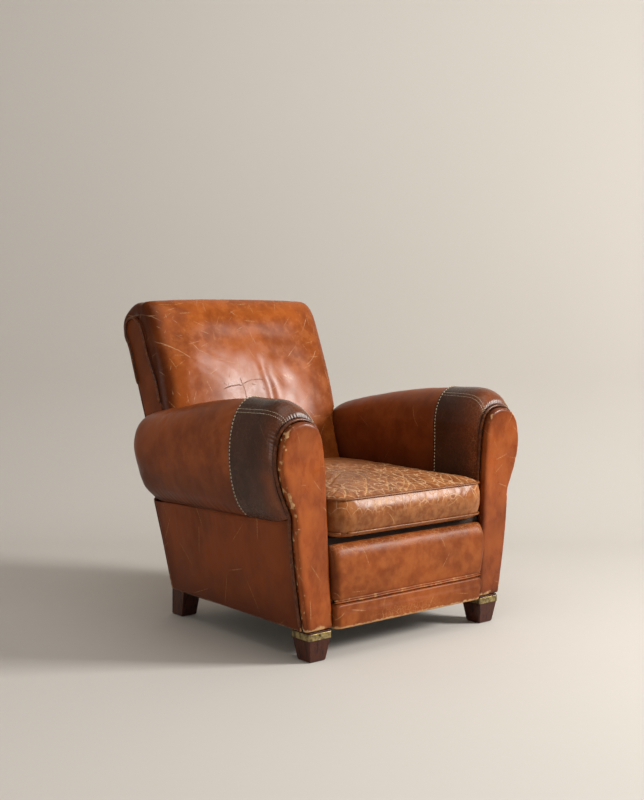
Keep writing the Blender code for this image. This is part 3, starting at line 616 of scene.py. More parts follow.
miss = vector_calc(long_crease, "LENGTH", miss, output="Value")
taper = ramp(long_crease, bulge, 0.0, 0.25, 0.35, 1.0)
thin = ramp(long_crease, miss, taken["Line width"], 0.0)
long_crease.links.new(calc(long_crease, "MULTIPLY", thin, taper), given["Line"])
print("group:", long_crease.name)

# %% [markdown]
# Edges wear through in ragged patches. The mesh says how exposed each point is, and noise tears the
# border of the worn patch.
# %% Group: rubbed edge
rubbed_edge, taken, given = new_group(
    "Rubbed edge", {"Vector": HERE, "Wear": 0.0, "Chip size": 0.01}, ("Rubbed",),
)
per_chip = calc(rubbed_edge, "DIVIDE", 1.0, taken["Chip size"])
chips = noise_at(rubbed_edge, taken["Vector"], per_chip, 4.0, 0.65)
torn = calc(rubbed_edge, "ADD", taken["Wear"], calc(rubbed_edge, "SUBTRACT", chips, 0.5))
rubbed_edge.links.new(ramp(rubbed_edge, torn, 0.42, 0.72), given["Rubbed"])
print("group:", rubbed_edge.name)

# %% [markdown]
# All the leathers share one recipe. Colour goes from the dark dye through the middle tone to the
# pale hide. The mesh adds five masks: "fold" for grooves and seams, which are painted dark as
# painted shade, "aged_and_shade" for dark antiquing and for painted shade on parts that lie in
# shade, "wear" for rubbed edges, "flexed" for where the hide cracks and "warm" for where the dye has
# gone and the reddish middle shows. Wax gives the gloss, so a thin coat lies over the leather.
# %% The leather recipe
GRAIN_SIZE = 0.0022
MASKS = ("fold", "aged_and_shade", "wear", "flexed", "warm")


def leather(
    name, dark, middle, light, patch=0.12, shine=0.38, coat=0.25, cracks=0.3, crack_size=0.02,
    crack_colour=None, spread=0.45, marks=0.5, mark_size=0.07, mark_width=0.0009, mottle=0.35,
    depth=0.5, bump=1.0, stretch=(1.0, 1.0, 1.0), bare=(0.60, 0.35, 0.16), gloss=0.20, creases=(),
):
    """A leather with its own three tones, gloss, cracks and marks."""
    material, tree, shader, spot = new_material(name)
    drawn_out = vector_calc(tree, "MULTIPLY", spot, stretch)
    clouds = placed(tree, dye_clouds, {"Vector": drawn_out, "Patch size": patch})
    grain = placed(tree, leather_grain, {"Vector": spot, "Grain size": GRAIN_SIZE})
    net = placed(tree, crack_net, {
        "Vector": drawn_out, "Cell size": crack_size, "Waviness": crack_size * 1.3, "Spread": spread,
    })
    scratched = placed(tree, scratches, {
        "Vector": spot, "Cell size": mark_size, "Line width": mark_width, "Share": marks,
    })["Marks"]
    fold, aged_and_shade, wear, flexed, warm = [
        add(tree, "Attribute", attribute_name=word).outputs["Fac"] for word in MASKS
    ]
    cracked = calc(tree, "MULTIPLY", net["Cracks"], flexed)
    rubbed = placed(tree, rubbed_edge, {"Vector": spot, "Wear": wear})["Rubbed"]
    colour = blend(tree, ramp(tree, clouds["Broad"], 0.0, 1.0, 1 - depth, 1.0), (*dark, 1), (*middle, 1))
    colour = blend(tree, calc(tree, "MULTIPLY", clouds["Fine"], mottle), colour, (*light, 1))
    colour = blend(tree, warm, colour, (*light, 1))
    # Darkens towards the dark dye: antiquing, and painted shade where a part lies in shade.
    colour = blend(tree, calc(tree, "MULTIPLY", aged_and_shade, 0.85), colour, (*[0.55 * x for x in dark], 1))
    crack_tone = crack_colour or [0.4 * x for x in dark]
    colour = blend(tree, calc(tree, "MULTIPLY", cracked, cracks), colour, (*crack_tone, 1))
    height = calc(tree, "MULTIPLY", grain["Height"], 0.05 * bump)
    height = calc(tree, "SUBTRACT", height, calc(tree, "MULTIPLY", cracked, 0.25 * bump * min(1, cracks)))
    height = calc(tree, "SUBTRACT", height, calc(tree, "MULTIPLY", scratched, 0.08))
    for start, end, bow, width, tone, share in creases:
        places = {label: (x, 0.0, z) for label, (x, z) in zip(("Start", "End", "Bow"), (start, end, bow))}
        crease = placed(tree, long_crease, {"Vector": spot, "Line width": width, **places})
        colour = blend(tree, calc(tree, "MULTIPLY", crease["Line"], share), colour, (*tone, 1))
        height = calc(tree, "SUBTRACT", height, calc(tree, "MULTIPLY", crease["Line"], 0.3 * share))
    colour = blend(tree, calc(tree, "MULTIPLY", scratched, 0.5), colour, (*bare, 1))
    colour = blend(tree, calc(tree, "MULTIPLY", rubbed, 0.85), colour, (*bare, 1))
    # Grooves, seams and pleat valleys are painted near black: painted shade.
    colour = blend(tree, calc(tree, "MULTIPLY", fold, 0.8), colour, (*[0.35 * x for x in dark], 1))
    rough = ramp(tree, clouds["Fine"], 0.0, 1.0, shine - 0.03, shine + 0.04)
    rough = calc(tree, "ADD", rough, calc(tree, "MULTIPLY", rubbed, 0.22))
    rough = calc(tree, "ADD", rough, calc(tree, "MULTIPLY", calc(tree, "MAXIMUM", fold, cracked), 0.18))
    wire(tree, shader, {"Base Color": colour, "Roughness": rough, "Normal": relief(tree, height)})
    shader.inputs["Coat Weight"].default_value = coat
    shader.inputs["Coat Roughness"].default_value = 0.25
    shader.inputs["Specular IOR Level"].default_value = gloss
    return material


print("leather grain is", round(GRAIN_SIZE / MM, 1), "mm across")

# %% [markdown]
# Pale creases show bare hide, and dark ones are cracks that have filled with wax and dust. A crease
# of the back is a start, an end and a bow, as X and Z, then its width, its tone and its strength.
# %% The drawn creases of the back
HIDE = (0.56, 0.33, 0.19)
TAN = (0.62, 0.40, 0.25)
CRACK = (0.06, 0.015, 0.006)


BACK_CREASES = (
    ((-0.289, 0.790), (-0.175, 0.696), (0.006, 0.004), 0.0018, HIDE, 0.75),
    ((-0.175, 0.696), (-0.066, 0.658), (0, -0.004), 0.0016, HIDE, 0.5),
    ((-0.284, 0.718), (-0.204, 0.676), (0.002, 0.003), 0.0016, HIDE, 0.7),
    ((-0.204, 0.676), (-0.106, 0.600), (0, 0.004), 0.0016, CRACK, 0.5),
    ((-0.055, 0.598), (-0.112, 0.592), (0, 0.003), 0.0020, CRACK, 0.9),
    ((-0.112, 0.592), (-0.168, 0.564), (0.002, 0.004), 0.0018, CRACK, 0.85),
    ((-0.058, 0.618), (-0.046, 0.556), (0.004, 0), 0.0018, CRACK, 0.85),
    ((-0.050, 0.602), (0.026, 0.611), (0, 0.005), 0.0014, CRACK, 0.75),
    ((-0.020, 0.600), (0.024, 0.583), (0, 0.003), 0.0013, CRACK, 0.7),
    ((-0.102, 0.600), (-0.090, 0.628), (0.003, 0), 0.0012, CRACK, 0.5),
    ((-0.037, 0.800), (0.021, 0.710), (0.010, 0.004), 0.0015, TAN, 0.75),
    ((0.238, 0.780), (0.127, 0.672), (0.004, -0.006), 0.0015, TAN, 0.7),
    ((0.243, 0.686), (0.193, 0.647), (0.002, -0.003), 0.0013, TAN, 0.55),
    ((-0.137, 0.777), (-0.040, 0.785), (0, -0.02), 0.0013, TAN, 0.4),
    ((-0.262, 0.656), (-0.250, 0.578), (-0.01, -0.004), 0.0015, TAN, 0.6),
    ((-0.285, 0.640), (-0.268, 0.580), (0.006, 0), 0.0013, TAN, 0.5),
    ((-0.284, 0.786), (-0.222, 0.770), (0, 0.008), 0.0016, TAN, 0.7),
    ((-0.268, 0.800), (-0.204, 0.748), (0.005, 0), 0.0015, TAN, 0.6),
    ((-0.246, 0.792), (-0.262, 0.742), (0.006, 0), 0.0014, TAN, 0.55),
    ((-0.226, 0.786), (-0.246, 0.724), (-0.008, 0), 0.0013, TAN, 0.45),
    ((-0.275, 0.760), (-0.216, 0.736), (0, -0.005), 0.0013, TAN, 0.55),
    ((-0.214, 0.640), (-0.236, 0.560), (0.010, 0), 0.0013, TAN, 0.5),
    ((0.205, 0.800), (0.252, 0.712), (0.010, 0), 0.0013, TAN, 0.4),
)
print(len(BACK_CREASES), "creases are drawn on the back")

# %% [markdown]
# The tones are linear colour, from dark dye to bare hide. The cuffs are nearly black, the cushion
# is bleached by use, and the sides that nobody touches have kept their dark red brown.
# %% The leathers
back_leather = leather(
    "back_leather", (0.105, 0.019, 0.005), (0.33, 0.078, 0.013), (0.42, 0.13, 0.028),
    patch=0.13, shine=0.25, coat=0.02, marks=0.9, mark_size=0.042, mark_width=0.0012, mottle=0.3,
    depth=0.5, gloss=0.12, creases=BACK_CREASES,
)
arm_leather = leather(
    "arm_leather", (0.10, 0.019, 0.005), (0.28, 0.062, 0.012), (0.38, 0.12, 0.035),
    patch=0.14, shine=0.38, coat=0.05, marks=0.3, mark_size=0.09, mottle=0.2,
)
cuff_leather = leather(
    "cuff_leather", (0.026, 0.012, 0.008), (0.066, 0.028, 0.017), (0.21, 0.055, 0.017),
    patch=0.10, shine=0.26, coat=0.10, cracks=0.7, crack_size=0.010,
    crack_colour=(0.45, 0.21, 0.10), spread=0.7, marks=0.4, mark_size=0.06, mottle=0.04, gloss=0.25,
    bare=(0.40, 0.20, 0.09),
)
facing_leather = leather(
    "facing_leather", (0.12, 0.021, 0.005), (0.32, 0.070, 0.012), (0.45, 0.14, 0.032),
    patch=0.10, shine=0.30, coat=0.04, marks=0.8, mark_size=0.05, mark_width=0.0012, mottle=0.25,
    gloss=0.15, stretch=(1.0, 1.0, 0.6),
)
border_leather = leather(
    "border_leather", (0.11, 0.020, 0.005), (0.28, 0.066, 0.012), (0.42, 0.15, 0.040),
    patch=0.12, shine=0.40, coat=0.02, cracks=0.65, crack_size=0.011,
    crack_colour=(0.52, 0.27, 0.13), spread=0.70, marks=0.9, mark_size=0.05, mark_width=0.0012,
    mottle=0.25, gloss=0.12,
)
side_leather = leather(
    "side_leather", (0.075, 0.014, 0.003), (0.215, 0.045, 0.008), (0.29, 0.080, 0.020),
    patch=0.16, shine=0.38, coat=0.03, marks=0.5, mark_size=0.09, mottle=0.14, depth=0.4,
    gloss=0.14, stretch=(1.0, 1.0, 0.8),
)
outside_leather = leather(
    "outside_leather", (0.075, 0.015, 0.004), (0.21, 0.048, 0.011), (0.29, 0.085, 0.025),
    patch=0.16, shine=0.42, coat=0.04, marks=0.25, mark_size=0.12, mottle=0.2,
    stretch=(1.0, 1.0, 0.5),
)
seat_leather = leather(
    "seat_leather", (0.13, 0.034, 0.010), (0.31, 0.098, 0.026), (0.50, 0.24, 0.095),
    patch=0.07, shine=0.31, coat=0.03, gloss=0.15, cracks=0.9, crack_size=0.030,
    crack_colour=(0.66, 0.42, 0.24), spread=0.80, marks=0.7, mark_size=0.05, mottle=0.35, bump=1.3,
    stretch=(1.3, 0.75, 1.0),
)
welt_leather = leather(
    "welt_leather", (0.025, 0.007, 0.003), (0.085, 0.021, 0.007), (0.30, 0.10, 0.03),
    patch=0.03, shine=0.32, coat=0.08, marks=0.2, mark_size=0.03,
)
print("leathers:", sum("leather" in material.name for material in bpy.data.materials))

# %% [markdown]
# The feet are polished mahogany and the rails raw beech, with the same figure group at two scales.
# The grain is a noise drawn out along the height, and its folded value gives the growth rings.
# %% Group and materials for wood
wood_figure, taken, given = new_group(
    "Wood figure", {"Vector": HERE, "Ring size": 0.012}, ("Figure", "Pores"),
)
per_ring = calc(wood_figure, "DIVIDE", 1.0, taken["Ring size"])
stretched = vector_calc(wood_figure, "MULTIPLY", taken["Vector"], (1.0, 1.0, 0.12))
rings = noise_at(wood_figure, stretched, per_ring, 4.0, 0.6)
bands = calc(wood_figure, "PINGPONG", calc(wood_figure, "MULTIPLY", rings, 6.0), 1.0)
fine_pores = noise_at(wood_figure, stretched, calc(wood_figure, "MULTIPLY", per_ring, 14.0), 2.0)
wood_figure.links.new(ramp(wood_figure, bands, 0.0, 1.0), given["Figure"])
wood_figure.links.new(ramp(wood_figure, fine_pores, 0.52, 0.66), given["Pores"])


def wood(name, dark, light, rough, coat, ring):
    material, tree, shader, spot = new_material(name)
    figure = placed(tree, wood_figure, {"Vector": spot, "Ring size": ring})
    knocks = placed(tree, scratches, {"Vector": spot, "Cell size": 0.02, "Line width": 0.0005})["Marks"]
    colour = blend(tree, figure["Figure"], (*dark, 1), (*light, 1))
    in_pores = calc(tree, "MULTIPLY", figure["Pores"], 0.6)
    colour = blend(tree, in_pores, colour, (*[0.4 * x for x in dark], 1))
    colour = blend(tree, calc(tree, "MULTIPLY", knocks, 0.4), colour, (*[2.5 * x for x in light], 1))
    height = calc(tree, "MULTIPLY", figure["Pores"], -0.06)
    height = calc(tree, "SUBTRACT", height, calc(tree, "MULTIPLY", knocks, 0.1))
    wire(tree, shader, {
        "Base Color": colour,
        "Roughness": ramp(tree, figure["Figure"], 0.0, 1.0, rough + 0.06, rough - 0.04),
        "Normal": relief(tree, height),
    })
    shader.inputs["Coat Weight"].default_value = coat
    shader.inputs["Coat Roughness"].default_value = 0.2
    shader.inputs["Specular IOR Level"].default_value = 0.25
    return material


foot_wood = wood("foot_wood", (0.018, 0.0045, 0.002), (0.070, 0.016, 0.007), 0.36, 0.1, 0.010)
frame_wood = wood("frame_wood", (0.36, 0.22, 0.11), (0.58, 0.40, 0.23), 0.62, 0.0, 0.016)
print("woods:", foot_wood.name, frame_wood.name)

# %% [markdown]
# The brass has lost its lacquer and the springs their oil. Both share a recipe: bright metal under a
# dull film, with dark pits that are less metallic.
# %% Brass and steel
def metal(name, bright, dull, spots, shine):
    """A metal with a dull film, and dark spots where it has pitted."""
    material, tree, shader, spot = new_material(name)
    film = placed(tree, dye_clouds, {"Vector": spot, "Patch size": 0.012})
    pits = ramp(tree, noise_at(tree, spot, 260.0, 3.0), 0.60, 0.70)
    colour = blend(tree, film["Broad"], (*dull, 1), (*bright, 1))
    pitted = calc(tree, "MULTIPLY", pits, spots)
    colour = blend(tree, pitted, colour, (*[0.25 * x for x in dull], 1))
    height = calc(tree, "MULTIPLY", film["Fine"], 0.06)
    height = calc(tree, "ADD", height, calc(tree, "MULTIPLY", pits, -0.08))
    wire(tree, shader, {
        "Base Color": colour,
        "Metallic": ramp(tree, pitted, 0.0, 1.0, 1.0, 0.3),
        "Roughness": ramp(tree, film["Fine"], 0.0, 1.0, shine, shine + 0.22),
        "Normal": relief(tree, height),
    })
    return material


worn_brass = metal("worn_brass", (0.40, 0.31, 0.14), (0.11, 0.08, 0.04), 0.9, 0.32)
spring_steel = metal("spring_steel", (0.46, 0.45, 0.44), (0.22, 0.20, 0.18), 0.5, 0.30)
print("metals:", worn_brass.name, spring_steel.name)

# %% [markdown]
# Webbing, hessian, deck cloth and dust cloth are the same plain weave at different thread sizes. Two
# sets of waves cross each other, and each rises where the other dips.
# %% Group and materials for cloth
cloth_weave, taken, given = new_group(
    "Cloth weave", {"Vector": HERE, "Thread": 0.002}, ("Height", "Worn"),
)
parts = add(cloth_weave, "SeparateXYZ", {"Vector": taken["Vector"]}).outputs
turns = calc(cloth_weave, "DIVIDE", 2 * math.pi, taken["Thread"])
upright = calc(cloth_weave, "ADD", parts["Y"], parts["Z"])
warp = calc(cloth_weave, "SINE", calc(cloth_weave, "MULTIPLY", parts["X"], turns))
weft = calc(cloth_weave, "SINE", calc(cloth_weave, "MULTIPLY", upright, turns))
crossing = calc(cloth_weave, "MULTIPLY", warp, weft)
cloth_weave.links.new(ramp(cloth_weave, crossing, -1.0, 1.0), given["Height"])
patches = noise_at(cloth_weave, taken["Vector"], 14.0, 4.0)
cloth_weave.links.new(ramp(cloth_weave, patches, 0.4, 0.7), given["Worn"])


THREAD_RELIEF = 0.3


def woven(name, thread, dark, light):
    material, tree, shader, spot = new_material(name)
    weave = placed(tree, cloth_weave, {"Vector": spot, "Thread": thread})
    # Thread tops are painted lighter and the dips between them darker: painted light and shade of the
    # weave.
    colour = blend(tree, weave["Height"], (*dark, 1), (*light, 1))
    colour = blend(tree, calc(tree, "MULTIPLY", weave["Worn"], 0.4), colour, (*dark, 1))
    wire(tree, shader, {
        "Base Color": colour,
        "Roughness": ramp(tree, weave["Worn"], 0.0, 1.0, 0.82, 0.95),
        "Normal": relief(tree, calc(tree, "MULTIPLY", weave["Height"], THREAD_RELIEF)),
    })
    return material


strap_cloth = woven("webbing", 0.0024, (0.20, 0.13, 0.07), (0.42, 0.31, 0.18))
hessian = woven("hessian", 0.0030, (0.24, 0.17, 0.09), (0.50, 0.38, 0.23))
deck_cloth = woven("deck_cloth", 0.0012, (0.03, 0.016, 0.010), (0.07, 0.038, 0.024))
dust_cloth = woven("dust_cloth", 0.0016, (0.015, 0.015, 0.015), (0.05, 0.048, 0.045))
thread_cloth = woven("waxed_thread", 0.0008, (0.55, 0.44, 0.29), (0.82, 0.72, 0.55))
print("cloths:", [m.name for m in (strap_cloth, hessian, deck_cloth, dust_cloth, thread_cloth)])

# %% [markdown]
# ## The loose cushion
# The seat cushion is a leather case between two welts, filled with feather and down. It starts a
# little flatter than the real one, and the cloth swells it back between its pinned seams. Whatever
# would pass the deck, the arms or the back is held at that limit, as it is when it lies in the seat.
# %% Swell the cushion
def spread_value(obj, values, rounds):
    return averaged(obj, np.repeat(values[:, None], 3, axis=1), rounds)[:, 0]


def exposure(obj, rounds=6, full=1.0 * MM):
    """0 on flats and in hollows, 1 where the surface stands out as an edge does."""
    points = points_of(obj)
    out = np.sum((points - averaged(obj, points, rounds)) * normals_of(obj), axis=1)
    return np.clip(out / full, 0, 1)


cushion_low, cushion_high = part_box("seat_cushion")
top_seam = sum(corner.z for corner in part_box("cushion_welt_top")) / 2
bottom_seam = sum(corner.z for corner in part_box("cushion_welt_bottom")) / 2
cushion = soft_copy("leather_seat_cushion", "seat_cushion", 6.5 * MM)
relax(cushion, 3)
points = points_of(cushion)
above = np.maximum(points[:, 2] - top_seam, 0)
points[:, 2] -= 0.22 * above
between = rise(points[:, 2], bottom_seam, bottom_seam + 0.02)
between = between * rise(-points[:, 2], -top_seam, -top_seam + 0.02)
points[:, :2] *= 1 - 0.004 * between[:, None]
set_points(cushion, points)
wall = np.abs(normals_of(cushion)[:, 2]) < 0.8
at_seam = wall & (np.minimum(abs(points[:, 2] - top_seam), abs(points[:, 2] - bottom_seam)) < 3.4 * MM)
swell(cushion, 4.0, 15 * MM, at_seam | (points[:, 2] < bottom_seam - 6 * MM))
cushion = subdivided(cushion)
print("cushion:", len(cushion.data.polygons), "quads, seams at", round(bottom_seam, 3), round(top_seam, 3))

# %% [markdown]
# A crease in leather is a shallow groove with a soft ridge beside it. Its line is drawn in plan and
# dropped onto the swollen surface, so that it follows the crown. The front seams are drawn in a
# little too, as the welts pull them.
# %% Creases, and seams that are drawn in
def set_back(y):
    """How far the front seams are drawn in, which lets the front face bulge between them."""
    return 4.5 * MM * rise(-y, 0.30, 0.40)


def press(points, normals, line, width, depth, ridge=0.0):
    """Pushes the surface in along a line and lifts it on both sides. Returns how near each point is."""
    near = distance_to(points, line) / width
    push_out(points, normals, ridge * bell(near - 2) - depth * bell(near))
    return bell(1.2 * near)


def on_top(tree, flat_line):
    """Drops a line of X and Y places onto a surface from above."""
    down = Vector((0, 0, -1))
    dropped = [tree.ray_cast(Vector((x, y, 1.0)), down)[0] for x, y in curve_through(flat_line)]
    return np.array([spot for spot in dropped if spot])


print("the front seams are drawn in", round(float(set_back(cushion_low.y)) / MM, 1), "mm")

# %% [markdown]
# Years of sitting leave lines that fan back from the front seam. Where they are
# pressed in, they are rubbed pale. The two lines behind the fan run across and are rubbed less. The
# front face has small upright wrinkles that die out at the seams.
# %% Crease the cushion
CUSHION_CREASES = (
    ((-0.151, -0.427), (-0.116, -0.386), (-0.059, -0.314), (-0.030, -0.250)),
    ((-0.078, -0.424), (-0.048, -0.386), (-0.010, -0.336)),
    ((-0.043, -0.424), (0.002, -0.391), (0.063, -0.318), (0.106, -0.249)),
    ((-0.021, -0.423), (0.015, -0.395), (0.048, -0.340)),
    ((0.048, -0.427), (0.046, -0.394), (0.067, -0.337), (0.060, -0.280)),
    ((0.110, -0.422), (0.143, -0.377), (0.172, -0.317), (0.180, -0.240)),
    ((0.130, -0.425), (0.128, -0.396), (0.093, -0.373)),
    ((0.175, -0.426), (0.175, -0.399), (0.215, -0.330)),
    ((-0.226, -0.422), (-0.210, -0.418), (-0.185, -0.385), (-0.170, -0.330)),
    ((-0.239, -0.393), (-0.215, -0.384), (-0.192, -0.366)),
    ((-0.180, -0.319), (-0.124, -0.273), (-0.077, -0.237)),
    ((-0.060, -0.200), (0.010, -0.170), (0.090, -0.180), (0.160, -0.150)),
    ((-0.190, -0.120), (-0.100, -0.080), (0.020, -0.090)),
)


FAN = 11
HALF_WIDTH = 0.262
CREASED_HALF = 0.235
REAR_CROWN = 5 * MM
points = points_of(cushion)
normals = normals_of(cushion)
top = rise(points[:, 2], top_seam, top_seam + 12 * MM)
bm = bmesh.new()
bm.from_mesh(cushion.data)
cushion_tree = BVHTree.FromBMesh(bm)
bm.free()
worn = np.zeros(len(points))
for i, flat_line in enumerate(CUSHION_CREASES):
    inside = np.clip(flat_line, (-CREASED_HALF, cushion_low.y + 9 * MM), (CREASED_HALF, 0))
    mask = press(points, normals, on_top(cushion_tree, inside), 4.0 * MM, 0.9 * MM, 0.4 * MM)
    worn = np.maximum(worn, mask * (0.62 if i < FAN else 0.3))
push_out(points, normals, top * 1.6 * MM * cloudy(points, 0.060, 1))
push_out(points, normals, top * 0.7 * MM * cloudy(points, 0.022, 2))
off_sides = 1 - np.clip(abs(points[:, 0]) / HALF_WIDTH, 0, 1) ** 5
points[:, 2] += top * REAR_CROWN * rise(points[:, 1], -0.30, -0.06) * off_sides
face = rise(points[:, 2], bottom_seam, bottom_seam + 8 * MM)
face = face * rise(-points[:, 2], -top_seam, -top_seam + 8 * MM)
upright = points * (1.0, 1.0, 0.35)
wrinkles = 1.2 * MM * cloudy(upright, 0.034, 3) + 0.6 * MM * cloudy(points, 0.013, 4)
push_out(points, normals, face * wrinkles)
points[:, 2] = np.maximum(points[:, 2], cushion_low.z + 0.3 * MM)
share_up = np.clip((points[:, 2] - bottom_seam) / (top_seam - bottom_seam), 0, 1)
points[:, 1] += set_back(points[:, 1]) * (1 - 2.1 * np.sin(math.pi * share_up))
points[:, 0] = np.clip(points[:, 0], 1.6 * MM - HALF_WIDTH, HALF_WIDTH - 1.6 * MM)
points[:, 1] = np.clip(points[:, 1], cushion_low.y - 6 * MM, cushion_high.y + 2 * MM)
set_points(cushion, points)
seam_gap = np.minimum(abs(points[:, 2] - top_seam), abs(points[:, 2] - bottom_seam))
# A dark line is painted along both seams beside the welts: painted shade in the seam grooves.
painted_seam_shade = np.where(np.abs(normals[:, 2]) < 0.9, bell(seam_gap / (3.0 * MM)), 0)
keep(cushion, "fold", 0.8 * painted_seam_shade)
front = rise(-points[:, 1], 0.36, 0.43)
keep(cushion, "wear", worn + 0.22 * front * rise(points[:, 2], 0.375, 0.385) * (1 - painted_seam_shade))
smooth_patch = bell((points[:, 0] + 0.09) / 0.10) * bell((points[:, 1] + 0.27) / 0.07)
# The lower part of the front face, under its bulge, is painted darker: painted shade.
front_low_shade = face * front * rise(-points[:, 2], -0.36, -0.31)
keep(cushion, "aged_and_shade", 0.30 * smooth_patch * top + 0.15 * rise(points[:, 1], 0.0, 0.12) + 0.30 * front_low_shade)
sat_on = rise(0.07 * cloudy(points, 0.07, 9) - points[:, 1], 0.05, 0.26)
sat_on = sat_on * (0.68 + 0.32 * top) * rise(points[:, 2], 0.325, 0.355)
keep(cushion, "flexed", sat_on * (1 - 0.7 * smooth_patch))
dressed(cushion, seat_leather, "seat_leather", "seat_cushion")
print("cushion box:", [round(v, 3) for v in points.min(0)], [round(v, 3) for v in points.max(0)])

# %% [markdown]
# ## The inside back
# The back is one skin of leather, stretched from the seat over the rolled top to the underside of
# the roll. Its corners are round where the hide is pleated in. It swells less than the cushion,
# because it is stuffed with horsehair over webbing. Its sides and everything behind it stay pinned.
# %% Shape and swell the back
SHOULDER = 0.075
DEEP = 0.080
BEND_FROM = 0.59
ROLL_AXIS = (0.372, 0.755)
SIDE_SEAM = 0.281
back_low, back_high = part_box("back_pad")
boxing_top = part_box("back_side_panel_left")[1].z
CORNER = back_high.z - boxing_top


def arc_drop(x, radius):
    """How far a round edge of that radius has fallen away at x."""
    into = np.clip((np.abs(x) - (back_high.x - radius)) / radius, 0, 0.98)
    return radius * (1 - np.sqrt(1 - into ** 2))


def front_plane(z):
    """Y of the plain front face of the back, which leans."""
    return 0.160 + 0.277 * (z - 0.460)


back = soft_copy("leather_back", "back_pad", 7.0 * MM)
relax(back, 3)
points = points_of(back)
normals = normals_of(back)
to_side = abs(points[:, 0]) / back_high.x
corner_radius = np.where(points[:, 0] > 0, 0.040, 0.016)
wanted = CORNER + 2 * MM - 9 * MM * to_side ** 3 - arc_drop(points[:, 0], corner_radius)
was = CORNER - 8 * MM * to_side ** 4 - arc_drop(points[:, 0], 0.020)
over = np.maximum(points[:, 2] - boxing_top, 0)
points[:, 2] += over * (np.clip(wanted / was, 0.3, 1.2) - 1)
fuller = 10 * MM * rise(to_side, 0.72, 0.95) * rise(points[:, 2], 0.740, 0.785)
fuller = fuller * rise(points[:, 1], 0.335, 0.375)
from_roll = points[:, 1:] - ROLL_AXIS
points[:, 1:] += from_roll / np.maximum(np.linalg.norm(from_roll, axis=1), 0.01)[:, None] * fuller[:, None]
round_off = arc_drop(points[:, 0], SHOULDER) * np.where(points[:, 0] > 0, 0.25, 0.5)
over_bend = np.clip(points[:, 2] - BEND_FROM + 0.176 * points[:, 0], 0, 0.26)
lean_back = np.where(over_bend < 0.096, 0.573 * over_bend ** 2, 0.11 * over_bend - 0.00528)
behind_front = np.clip(points[:, 1] - front_plane(points[:, 2]), 0, DEEP)
points[:, 1] += (round_off + lean_back) * (1 - behind_front / DEEP)
in_front = (normals[:, 1] < -0.2) | (points[:, 2] > 0.78)
middle = rise(-abs(points[:, 0]), -0.285, -0.23) * in_front * rise(-points[:, 2], -0.79, -0.72)
push_out(points, normals, -3 * MM * middle)
set_points(back, points)
pinned = (abs(points[:, 0]) > SIDE_SEAM) | ~in_front | (points[:, 2] < back_low.z + 0.02)
pinned |= (abs(points[:, 0]) > 0.250) & (points[:, 2] < 0.62)
swell(back, 3.0, 4.5 * MM, pinned, calm=60)
back = subdivided(back)
print("back:", len(back.data.polygons), "quads,", int(pinned.sum()), "points pinned at the seams")

# %% [markdown]
# Long creases run down from the back's upper left, and a soft upright fold splits the light right of
# the middle. A crease is a line of X and Z on the leaning front, its width and its depth. It is
# pressed in with a low ridge beside it, and it fades at both ends.
# %% Crease the back
BACK_LINES = (
    (((-0.291, 0.778), (-0.256, 0.757), (-0.196, 0.728), (-0.131, 0.688), (-0.066, 0.658)), 7.0, 0.16),
    (((-0.273, 0.710), (-0.240, 0.693), (-0.179, 0.654), (-0.130, 0.624), (-0.092, 0.603)), 7.0, 0.16),
    (((-0.110, 0.602), (-0.089, 0.597), (-0.053, 0.597), (-0.049, 0.562)), 6.0, 0.10),
    (((0.025, 0.690), (0.031, 0.624), (0.043, 0.588), (0.046, 0.500)), 14.0, 1.5),
    (((0.068, 0.660), (0.090, 0.628), (0.113, 0.591), (0.120, 0.554)), 22.0, 0.9),
    (((-0.289, 0.770), (-0.270, 0.786), (-0.252, 0.797)), 7.0, 0.3),
    (((-0.180, 0.520), (-0.120, 0.500), (-0.040, 0.505)), 14.0, 0.3),
)
SEEN_FLAT = (1, 0, 1)
points = points_of(back)
normals = normals_of(back)
in_front = rise(-normals[:, 1], 0.1, 0.5)
for flat_line, width, depth in BACK_LINES:
    line = curve_through([(x, front_plane(z), z) for x, z in flat_line]) * SEEN_FLAT
    near = distance_to(points * SEEN_FLAT, line) / (width * MM)
    to_ends = [np.linalg.norm(points * SEEN_FLAT - end, axis=1) for end in (line[0], line[-1])]
    push = (0.25 * bell(near - 2) - bell(near)) * rise(np.min(to_ends, axis=0), 0, 0.05)
    push_out(points, normals, in_front * depth * MM * push)
push_out(points, normals, in_front * 2.0 * MM * cloudy(points, 0.15, 5))
push_out(points, normals, in_front * 0.4 * MM * cloudy(points, 0.045, 6))
points[:, 0] = np.clip(points[:, 0], -back_high.x + 0.3 * MM, back_high.x - 0.3 * MM)
set_points(back, points)
# The edge beside the side welts is painted dark: painted shade in the seam.
keep(back, "fold", 0.55 * rise(abs(points[:, 0]), SIDE_SEAM, 0.288))
shade = rise(-points[:, 0], 0.245, 0.284) * 0.9 + rise(points[:, 0], 0.24, 0.285) * 0.4
shade += 0.35 * bell(np.hypot((points[:, 0] + 0.05) / 0.16, (points[:, 2] - 0.57) / 0.09))
shade += 0.25 * rise(-points[:, 0], 0.16, 0.24) * rise(-points[:, 2], -0.70, -0.60)
keep(back, "aged_and_shade", shade + 0.25 * cloudy(points, 0.06, 7))
keep(back, "wear", 0.45 * rise(points[:, 2], 0.800, 0.830) * (0.6 + 0.6 * cloudy(points, 0.03, 8)))
dressed(back, back_leather, "back_leather", "back_pad")
print("back box:", [round(v, 3) for v in points.min(0)], [round(v, 3) for v in points.max(0)])

